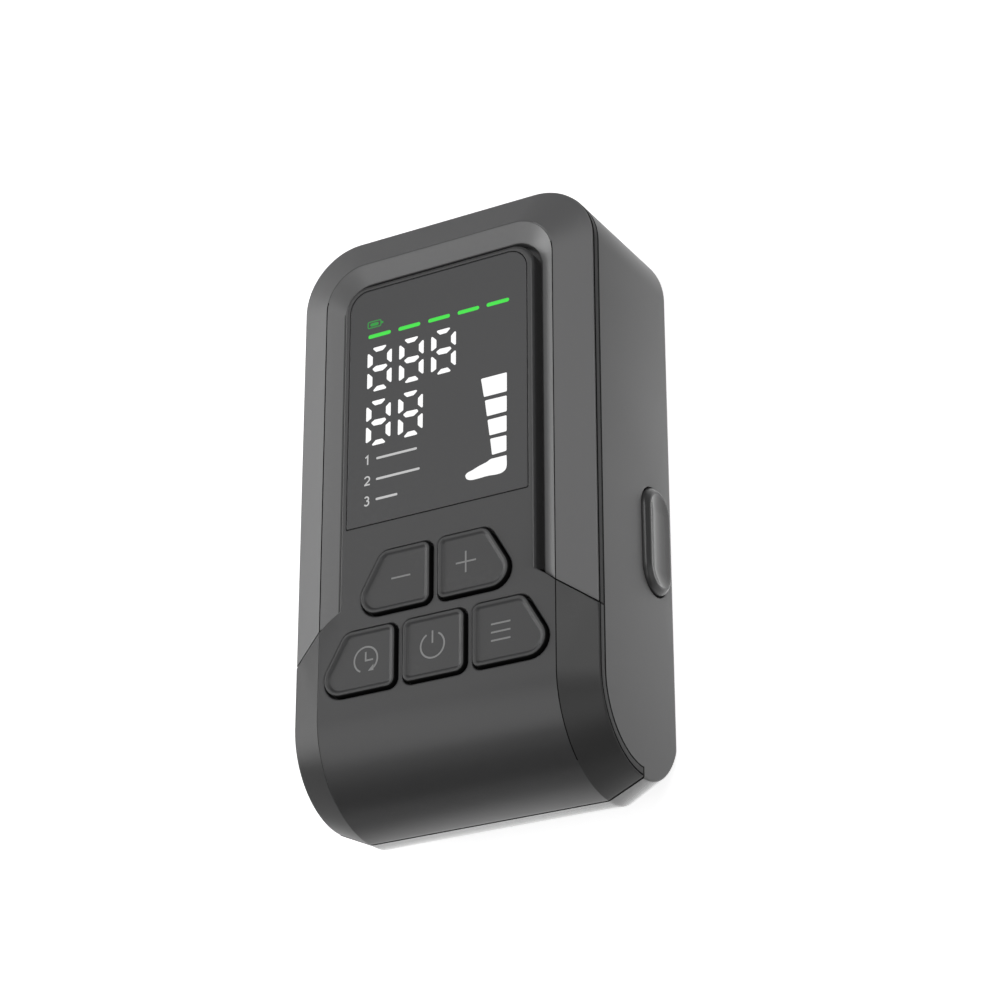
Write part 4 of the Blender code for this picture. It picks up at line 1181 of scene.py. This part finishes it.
# A point of the casing's outline at height z: u runs from the middle of the top end round either
# side to the middle of the bottom end. It goes along the top, round an arc, down the side wall,
# across the slanting facet and along the bottom.
def sharpOutline(u, z, depth):
    w, side = np.abs(u), np.where(u < 0, -1.0, 1.0)
    edge, crest = rear["edgeRadius"], case["crestHalf"]
    sideV, straightV = rear["sideV"], rear["straightV"]
    rise = np.maximum(edge - z, 0.0)
    inset = depth + edge - np.sqrt(np.maximum(edge**2 - rise**2, 0.0))
    half, top, radius = (case[size] - inset for size in ("halfWidth", "length", "corner"))
    middle = curledEnd(z, depth, rear["midCentre"], rear["midCentre"], 0.0)
    low = curledEnd(z, depth, rear["sideCentre"], rear["sideRadius"], sideV) + 0.3 * depth
    a = np.clip((w - rearBreaks[1]) / case["corner"], 0, np.pi / 2)
    x = np.where(w < rearBreaks[1], w, half - radius + radius * np.sin(a))
    v = np.where(w < rearBreaks[1], top, top - radius + radius * np.cos(a))
    down = w - rearBreaks[2]
    nominal = sideTop - down
    leaning = low + (nominal - sideV) * (straightV - low) / (straightV - sideV)
    along = np.where(nominal > straightV, nominal, leaning)
    x, v = np.where(down > 0, half, x), np.where(down > 0, along, v)
    t = np.clip((w - rearBreaks[3]) / rear["facet"], 0, 1)
    onFacet = w > rearBreaks[3]
    x = np.where(onFacet, half + (crest - half) * t, x)
    v = np.where(onFacet, low + (middle - low) * t, v)
    flat = w > rearBreaks[4]
    x = np.where(flat, crest - (w - rearBreaks[4]), x)
    return side * x, np.where(flat, middle, v)


# The outline's corners are softened: each point is the mean of a short stretch of the outline.
def rearPoint(u, z, depth=0.0):
    u, z = np.broadcast_arrays(np.asarray(u, float), np.asarray(z, float))
    shifts = np.linspace(-1, 1, 9) * rear["softenBy"]
    low = np.clip((np.abs(u) - rearBreaks[2] - 60) / 20, 0, 1)
    limit = rearBreaks[5]
    x, v = np.zeros_like(u), np.zeros_like(u)
    for shift in shifts:
        moved = u + shift * low * np.sign(u)
        past = np.abs(moved) > limit
        moved = np.where(past, np.sign(moved) * (2 * limit - np.abs(moved)), moved)
        px, pv = sharpOutline(moved, z, depth)
        x += np.where(past, -px, px) / len(shifts)
        v += pv / len(shifts)
    return np.stack([x, v, z + 0 * x], -1)


# Height of the casing's rim along the outline: level, then an arc round the front's curl.
def rimZ(u):
    v = rearPoint(u, np.full(np.shape(u), 30.0))[..., 1]
    drop = np.maximum(case["curlV"] - v, 0.0)
    radius, lowest = case["rimRadius"], rear["lowestRim"]
    arc = case["curlZ"] + np.sqrt(np.maximum(radius**2 - drop**2, 0.0))
    return np.where(drop > radius, lowest, np.maximum(arc, lowest))


# Stations u round the whole outline, closer together where it bends
def rearStations():
    def atV(v):  # u of a point on the right side wall
        return rearBreaks[2] + sideTop - v

    b = rearBreaks
    side = atV(np.array([120, 100, 80, 64.6, 50, 40, 36, 32, 28, 26, 24.0]))
    curl = atV(case["curlV"] - case["rimRadius"] * np.sin(np.radians(np.arange(5, 90, 5))))
    near = np.array([-0.9, -0.45, -0.3, -0.15, 0, 0.15, 0.3, 0.45, 0.9])
    half = np.concatenate([[0, 8, 16], np.linspace(b[1], b[2], 19), side, curl,
                           atV(np.array([6.56, 6.54])), b[3] + near, [b[3] + 3, b[3] + 6],
                           b[4] + near, np.linspace(b[4] + 5, b[5], 6)])
    half = np.unique(np.round(half, 6))
    return np.concatenate([-half[:0:-1], half])


# One closed shell: the rim, the outside with holes for buttons, socket and port, the inside a
# wall's thickness in, the back face and the floor with a counterbore and boss at each screw.
def makeRear():
    wall, edge, b = rear["wall"], rear["partingEdge"], rearBreaks
    us = rearStations()
    rim = rimZ(us)
    turn, down = quarterTurn(4)
    # Over the rim: outer fillet, flat top, inner wall
    rimRows = [rearPoint(us, rim - edge * (1 - s), edge * d) for s, d in zip(turn, down)]
    rimRows += [rearPoint(us, rim, wall - 0.05), rearPoint(us, rim - 0.05, wall)]
    parts = [bridge(np.array(rimRows), closed=False)]
    angle = np.linspace(0, np.pi / 2, rear["steps"])
    heights = rear["sideRadius"] * (1 - np.cos(angle))
    heights = np.unique(np.round(np.append(heights, [1.4, rear["edgeRadius"]]), 4))
    lowU = b[2] + sideTop - rear["straightV"]
    outerLoop = np.concatenate([np.column_stack([us, rim - edge]),
                                np.column_stack([np.full(len(heights), us[-1]), heights[::-1]]),
                                np.column_stack([us[::-1], np.zeros(len(us))])[1:],
                                np.column_stack([np.full(len(heights), us[0]), heights])[1:]])
    lines = [np.column_stack([us, rim - edge - rear["darkBelow"]])]
    for z in heights[1:]:
        whole = z <= rear["edgeRadius"] + 1e-6
        for part in ([us] if whole else [us[us <= -lowU], us[us >= lowU]]):
            lines.append(flatAt(part, z))
    away = np.abs(us)
    for picked, start in (((away >= b[1]) & (away <= b[2]), rear["edgeRadius"]),
                          (away > lowU + 1, rear["sideRadius"])):
        lines += [np.array([(u, start), (u, top - edge)]) for u, top in zip(us[picked], rim[picked])]
    holes, innerHoles = [], []
    cut = rear["holeEdge"]

    def wallHole(centre, straight, radius, steps=20):
        offsets, depths = [*(cut * (1 - turn)), 0], [*(cut * down), wall]
        loops = [stadiumLoop(centre, straight, radius + o, steps) for o in offsets]
        parts.append(bridge([rearPoint(p[:, 0], p[:, 1], d) for p, d in zip(loops, depths)]))
        holes.append(loops[0])
        innerHoles.append(loops[-1])
        ring = stadiumLoop(centre, straight, radius + cut + 0.3, steps)
        lines.append(np.vstack([ring, ring[:1]]))

    (buttonV, buttonZ), *sizes = rear["buttonHole"]
    for sign in (1, -1):
        wallHole((sign * (b[2] + sideTop - buttonV), buttonZ), *sizes)
    wallHole(*rear["socketHole"])
    wallHole(*rear["portHole"], 12)
    flat, faces = fillDomain([outerLoop, *holes], lines)
    parts.append((rearPoint(flat[:, 0], flat[:, 1]), faces))
    innerLoop = np.concatenate([np.column_stack([us, rim - 0.05]), flatAt(us[::-1], wall)])
    flat, faces = fillDomain([innerLoop, *innerHoles])
    parts.append((rearPoint(flat[:, 0], flat[:, 1], wall), faces))
    # Back face and floor, with a counterbore and its boss at each screw
    backLoop = rearPoint(us, np.zeros(len(us)))[:-1, :2]
    floorLoop = rearPoint(us, np.full(len(us), wall), wall)[:-1, :2]
    bores, bosses, rings = [], [], []
    mouth, boss = rear["bore"][0][0], rear["bore"][-1][0]
    profile = [(mouth + cut * (1 - s), cut * d) for s, d in zip(turn, down)]
    profile += [*rear["bore"], (boss, wall)]
    for x, v in screwSpots:
        for sign in (1, -1):
            rows = [flatAt(circleLoop((sign * x, v), r), z) for r, z in profile]
            parts.append(bridge(rows))
            bores.append(rows[0][:, :2])
            bosses.append(rows[-1][:, :2])
            ring = circleLoop((sign * x, v), mouth + cut + 0.3)
            rings.append(np.vstack([ring, ring[:1]]))
    for loop, circles, z, extra in ((backLoop, bores, 0.0, rings), (floorLoop, bosses, wall, [])):
        parts.append(flatCap([loop, *circles], z, extra))
    casing = makePiece("rearCasing", parts, "case", ["rear_casing"], "shell_grey")

    def underSeal(x, v, z):
        drop = np.maximum(case["curlV"] - v, 0.0)
        lift = np.hypot(drop, z - case["curlZ"]) - case["rimRadius"]
        lift = np.where(drop > 17.2, z - 18.2, lift)
        lift = np.where(v > case["curlV"], z - case["partingZ"] + 0.15, lift)
        return (np.abs(lift) < edge + rear["darkBelow"] - 0.01) & (z > 17.6)

    def underCurl(x, v, z):
        return (np.abs(x) < 39.7) & (v < 12) & (z > 0.5) & (z < 17.4)

    refinish(casing, underCurl, "underside")
    # The casing's rim edge under the gap takes near black: painted shadow
    refinish(casing, underSeal, "line")
    makeGapShadeStrip(us, rim)


# A near-black strip fills the gap over the casing's rim, a little below the surface: painted shade in
# the parting gap
def makeGapShadeStrip(us, rim):
    line = np.column_stack([us, rim])
    outwards = strokeLoop(line, 2.0)[:len(us)] - line
    low, high = line + outwards * 0.04, line - outwards * (case["gap"] + 0.04)
    rows = [rearPoint(p[:, 0], p[:, 1], depth) for p, depth in
            ((low, 0.06), (high, 0.06), (high, 0.9), (low, 0.9), (low, 0.06))]
    makePiece("partingGapShade", [bridge(np.array(rows), closed=False)], "case", finish="gapShade")


makeRear()


# Side buttons: a sloped rim round a concave finger dish

sideButton = {
    "centre": (64.6, 9.7),
    "straight": 7.2,
    "radius": 6.2,
    "stem": (34.5, 1.8, 2.0),  # inner x, radius and half straight part
    "flange": (35.9, 37.1, 6.9),  # inner and outer x, and radius
    "proud": 1.5,
    "rim": 0.25,  # half width of the rounded rim
    "slope": 1.15,
    "dishDepth": 0.85,
    "dishStart": 0.17,  # how far the dish has fallen half a millimetre in from the rim
}


# A tower of stadium outlines along x. The dish is a parabola: it is shallower than in the middle
# by the square of the distance from there.
def makeSideButtons():
    face, radius = case["halfWidth"] + sideButton["proud"], sideButton["radius"]
    slope, rim = sideButton["slope"], sideButton["rim"]
    depth, start = sideButton["dishDepth"], sideButton["dishStart"]
    top = radius - slope
    dish = top - 2 * rim

    def inDish(x, v, z):
        along = np.maximum(np.abs(v - sideButton["centre"][0]) - sideButton["straight"], 0)
        return (np.abs(x) > 38) & (np.hypot(along, z - sideButton["centre"][1]) < dish)

    t = np.linspace(0, 1, 12)
    # (x, half straight part, radius): the stem, the flange inside the wall, the button
    stemX, stemRadius, stemHalf = sideButton["stem"]
    inner, outer, flange = sideButton["flange"]
    half = sideButton["straight"]
    profile = [(stemX, stemHalf, stemRadius), (inner, stemHalf, stemRadius), (inner, half, flange),
               (outer, half, flange), (outer, half, radius)]
    corner = [(case["halfWidth"], radius), (face - 0.9, radius - 0.08), (face, top), (face, dish),
              (face - start, dish - 0.5)]
    corner = filletLine(corner, [0, 0.45, 0.3, 0.3, 0], support=0.15)
    profile += [(x, half, r) for x, r in corner[:-1]]
    lastX, lastR = corner[-1]
    bowl = [(lastX - (depth - start) * (1 - (1 - s) ** 2), lastR * (1 - s)) for s in t]
    for hand, side in (("left", -1), ("right", 1)):
        loops = [(stadiumLoop(sideButton["centre"], straight, r), side * x) for x, straight, r in
                 [*profile, *((x, half, max(r, 0.25)) for x, r in bowl[:-1])]]
        name = f"side_button_{hand}"
        piece = makePiece(f"sideButton{hand.title()}", tower(loops, "x"), name, [name], "button_grey")
        refinish(piece, inDish, "dish")


makeSideButtons()


# Hose socket in the top end: a collar round five ribbed nozzles

socket = {
    "z": 11.0,
    "pitch": 7.6,
    "backV": 134.2,
    "collarV": 139.2,
    "mouthV": 147.8,
    "blockHalf": 19.3,  # half straight parts of the block inside the wall and of the collar
    "collarHalf": 15.2,
    "nozzle": 1.7,
    "spigots": ((12.0, 1.7), (-12.0, 1.2)),  # x and radius of the tube ends on the block
    "spigotV": 136.7,
    "spigotZ": (16.0, 20.8),
}


def ribbed(radius, low, high, ribs, bore):  # (radius, height) of a hollow hose spigot
    steps = np.linspace(low + 0.35 * (high - low), high, ribs + 1)
    profile = [(0.84 * radius, low)]
    for start, end in zip(steps[:-1], steps[1:]):
        profile += [(0.84 * radius, start), (radius, start + 0.06), (0.84 * radius, end - 0.05)]
    return profile + [(0.8 * radius, high), (bore + 0.08, high), (bore, high - 0.1), (bore, low + 0.6)]


# Towers along v: a block with a hollow collar, and spigots turned from a ribbed profile.
def makeSocket():
    spot = (0.0, socket["z"])
    start, collar, mouth = socket["backV"], socket["collarV"], socket["mouthV"]
    block = [(6.05, start), (6.2, start + 0.15), (6.2, collar - 0.15), (6.05, collar)]
    ring = [(5.8, collar), (5.8, mouth - 0.3), (5.72, mouth - 0.1), (5.55, mouth), (4.5, mouth),
            (4.28, mouth - 0.08), (4.2, mouth - 0.3), (4.2, collar + 0.4)]
    levels = [(stadiumLoop(spot, socket["blockHalf"], r), v) for r, v in block]
    levels += [(stadiumLoop(spot, socket["collarHalf"], r), v) for r, v in ring]
    parts = tower(levels, "v")
    for i in range(5):
        centre = ((i - 2) * socket["pitch"], socket["z"])
        levels = ribbed(socket["nozzle"], collar + 0.2, collar + 4.2, 2, 0.75)
        parts += tower([(circleLoop(centre, r, 32), v) for r, v in levels], "v")
    for x, radius in socket["spigots"]:
        levels = ribbed(radius, *socket["spigotZ"], 2, 0.4 * radius)
        parts += tower([(circleLoop((x, socket["spigotV"]), r, 32), z) for r, z in levels])
    makePiece("hoseSocket", parts, "case", ["air_manifold"], "black_plastic")


# Charge port: a rolled steel shell round a contact tongue with eight contacts above and below
port = {
    "shell": [(1.6, 138.4), (1.6, 147.45), (1.56, 147.56), (1.5, 147.6), (1.4, 147.6), (1.34, 147.56),
              (1.3, 147.45), (1.3, 141.6)],  # radius and v
    "tongueHalf": (3.3, 0.35),
    "tongue": [(0.0, 141.5), (0.0, 146.4), (-0.07, 146.5)],  # offset and v
    "contactHalf": 0.17,
    "contactV": (142.0, 145.9),
    "contactZ": ((29.82, 29.87), (29.13, 29.18)),
}


# A shell rolled inwards at its mouth, the tongue, and a row of contacts on both its faces.
def makePort():
    spot, straight, _ = rear["portHole"]
    shell = tower([(stadiumLoop(spot, straight, r), v) for r, v in port["shell"]], "v")
    makePiece("chargePort", shell, "case", ["charge_port"], finish="port")
    corners = np.array([(-1, -1), (1, -1), (1, 1), (-1, 1)]) * port["tongueHalf"] + spot
    levels = [(roundedLoop(corners, [0.25] * 4, o, 4), v) for o, v in port["tongue"]]
    makePiece("chargeTongue", tower(levels, "v"), "case", finish="black_plastic")
    half, (start, end) = port["contactHalf"], port["contactV"]
    parts = []
    for x in np.linspace(-2.75, 2.75, 8):
        pad = np.array([(x - half, start), (x + half, start), (x + half, end), (x - half, end)])
        for low, high in port["contactZ"]:
            parts += tower([(pad, low), (pad, high)])
    makePiece("chargeContacts", parts, "case", finish="brass")


makeSocket()
makePort()


# Case screws: a domed head with a cross recess, seen down the counterbores of the back face

screw = {
    "headZ": 4.9,
    "tipZ": 28.0,
    "head": 2.5,
    "rise": 1.8,  # height of the head
    "dome": (1.5, 0.9),  # radius of its flat middle, and how far it falls to the edge
    "shaft": 1.2,
    "pitch": 0.9,
    "arm": 1.25,  # the cross recess
    "armHalf": 0.3,
    "recess": 1.1,
}


# A profile (radius, z) turned about the screw's axis: a quarter turn down the dome, the head,
# the threads as teeth and the tip. The cross is one arm's corners, turned four times.
def makeScrews():
    low, head, rise = screw["headZ"], screw["head"], screw["rise"]
    a = np.linspace(0, np.pi / 2, 7)
    flat, fall = screw["dome"]
    dome = [(flat + (head - flat) * math.sin(t), low + fall * (1 - math.cos(t))) for t in a]
    shaft, tip = screw["shaft"], screw["tipZ"]
    profile = [*dome, (head, low + rise), (shaft, low + rise)]
    pitch, root = screw["pitch"], 0.8 * shaft
    for z in np.arange(low + rise + 1.0, tip - 1.6, pitch):
        profile += [(root, z), (shaft, z + 0.4 * pitch), (root, z + 0.8 * pitch)]
    profile += [(root, tip - 1.2), (0.2 * shaft, tip)]
    arm, half, deep = screw["arm"], screw["armHalf"], low + screw["recess"]
    quarter = np.array([(arm, -half), (arm, half), (half, half)])
    turns = ((1, 0), (0, 1), (-1, 0), (0, -1))
    cross = np.concatenate([quarter @ np.array([[c, q], [-q, c]]) for c, q in turns])
    for place, (x, v) in zip(("bottom", "top"), screwSpots):
        for side, hand in ((-1, "left"), (1, "right")):
            spot = np.array((side * x, v))
            rows = [flatAt(circleLoop(spot, r, 40), z) for r, z in profile]
            mouth, floor = cross + spot, cross * 0.92 + spot
            parts = [bridge(rows), bridge([flatAt(mouth, low), flatAt(floor, deep)]),
                     flatCap([rows[0][:, :2], mouth], low), flatCap([floor], deep),
                     flatCap([rows[-1][:, :2]], tip)]
            name = f"case_screw_{place}_{hand}"
            makePiece(f"caseScrew{place.title()}{hand.title()}", parts, "case", [name], "steel")


makeScrews()


# Background, lights and camera

studio = {
    "world": 0.02,
    "floorTone": 0.5,  # what the floor gives back to the object
    "floorWhite": 0.9,  # its colour to the camera and in reflections
    "floorGlow": 0.8,  # lifts the floor to white for the camera, and leaves the shadow
    "mirrorGlow": 1.0,  # white of the floor in the object's own reflections
    "mirrorReach": (0.055, 0.10),  # it fades out over these distances from the middle,
    "mirrorScale": (1.1, 0.7, 0.0),  # which are stretched by these along x and y
    "mirrorShift": (0.008, 0.0, 0.0),
    # name: azimuth from +X, elevation, brightness
    "lamps": {
        "rightBox": (-9, 6, 0.8),
        "leftBox": (166, 20, 3.8),
        "highRight": (45, 55, 2.5),
        "highFront": (-150, 58, 1.5),
        "front": (-126, 40, 0.3),
        "highBack": (135, 55, 0.95),
        "nearEye": (-43, 52, 1.0),
    },
    "lampSize": (0.9, 0.5),
    "lampDistance": 1.2,
    "lampTarget": (0, 0, 0.02),
}

view = {  # the object stands as in the photograph
    "lens": 111.0,
    "sensor": 36.0,
    "shift": (0.0016, 0.0033),
    "place": (0.33126, -0.30216, 0.59780),
    "turn": (24.7442, 29.5774, -0.1173),  # degrees
}


# White to the camera and in reflections, greyer in the light that it throws back on the object
def makeFloor():
    mesh = bpy.data.meshes.new("floor")
    mesh.from_pydata([(-3, -3, 0), (3, -3, 0), (3, 3, 0), (-3, 3, 0)], [], [(0, 1, 2, 3)])
    floor = bpy.data.objects.new("floor", mesh)
    bpy.context.scene.collection.objects.link(floor)
    paper = bpy.data.materials.new("paper")
    paper.use_nodes = True
    tree = paper.node_tree
    tree.nodes.clear()
    ray = addNode(tree, "LightPath").outputs
    camera, glossy = ray["Is Camera Ray"], ray["Is Glossy Ray"]
    mirrored = worked(tree, "MAXIMUM", glossy, ray["Is Transmission Ray"])
    seen = worked(tree, "MAXIMUM", camera, mirrored)
    low, bright = (addNode(tree, "BsdfDiffuse", {"Color": (*[studio[tone]] * 3, 1)}).outputs[0]
                   for tone in ("floorTone", "floorWhite"))
    mix = addNode(tree, "MixShader", {0: seen, 1: low, 2: bright})
    place = {0: addNode(tree, "NewGeometry").outputs["Position"], 1: studio["mirrorScale"],
             2: studio["mirrorShift"]}
    flattened = addNode(tree, "VectorMath", place, "MULTIPLY_ADD").outputs[0]
    distance = addNode(tree, "VectorMath", {0: flattened}, "LENGTH").outputs["Value"]
    near = stretched(tree, distance, *studio["mirrorReach"], studio["mirrorGlow"], 0.0)
    strength = worked(tree, "ADD", worked(tree, "MULTIPLY", camera, studio["floorGlow"]),
                      worked(tree, "MULTIPLY", glossy, near))
    glow = addNode(tree, "Emission", {"Strength": strength})
    both = addNode(tree, "AddShader", {0: mix.outputs[0], 1: glow.outputs[0]})
    addNode(tree, "OutputMaterial", {"Surface": both.outputs[0]})
    mesh.materials.append(paper)


def makeWorld():  # white to the camera, dim to all else
    world = bpy.data.worlds.new("studio")
    bpy.context.scene.world = world
    world.use_nodes = True
    tree = world.node_tree
    tree.nodes.clear()
    dim, white = (addNode(tree, "Background", {"Color": (1, 1, 1, 1), "Strength": strength}).outputs[0]
                  for strength in (studio["world"], 1.0))
    camera = addNode(tree, "LightPath").outputs["Is Camera Ray"]
    mix = addNode(tree, "MixShader", {0: camera, 1: dim, 2: white})
    addNode(tree, "OutputWorld", {"Surface": mix.outputs[0]})


# Every lamp aims at one point; its power is its brightness times pi times its area.
def makeLamps():
    target, (width, height) = Vector(studio["lampTarget"]), studio["lampSize"]
    for name, (azimuth, elevation, radiance) in studio["lamps"].items():
        a, e = math.radians(azimuth), math.radians(elevation)
        back = Vector((math.cos(a) * math.cos(e), math.sin(a) * math.cos(e), math.sin(e)))
        data = bpy.data.lights.new(name, "AREA")
        data.shape = "RECTANGLE"
        data.size, data.size_y = width, height
        data.energy = radiance * math.pi * width * height
        lamp = bpy.data.objects.new(name, data)
        lamp.location = target + back * studio["lampDistance"]
        lamp.rotation_mode = "QUATERNION"
        lamp.rotation_quaternion = back.to_track_quat("Z", "Y")
        bpy.context.scene.collection.objects.link(lamp)


def makeCamera():
    data = bpy.data.cameras.new("camera")
    data.lens, data.sensor_width = view["lens"], view["sensor"]
    data.shift_x, data.shift_y = view["shift"]
    data.clip_start = 0.05
    camera = bpy.data.objects.new("camera", data)
    camera.location = view["place"]
    camera.rotation_euler = [math.radians(a) for a in view["turn"]]
    bpy.context.scene.collection.objects.link(camera)
    bpy.context.scene.camera = camera


dressNodes()
makeFloor()
makeWorld()
makeLamps()
makeCamera()
print("stage, lamps and camera made")
bpy.context.scene.view_settings.view_transform = "Standard"
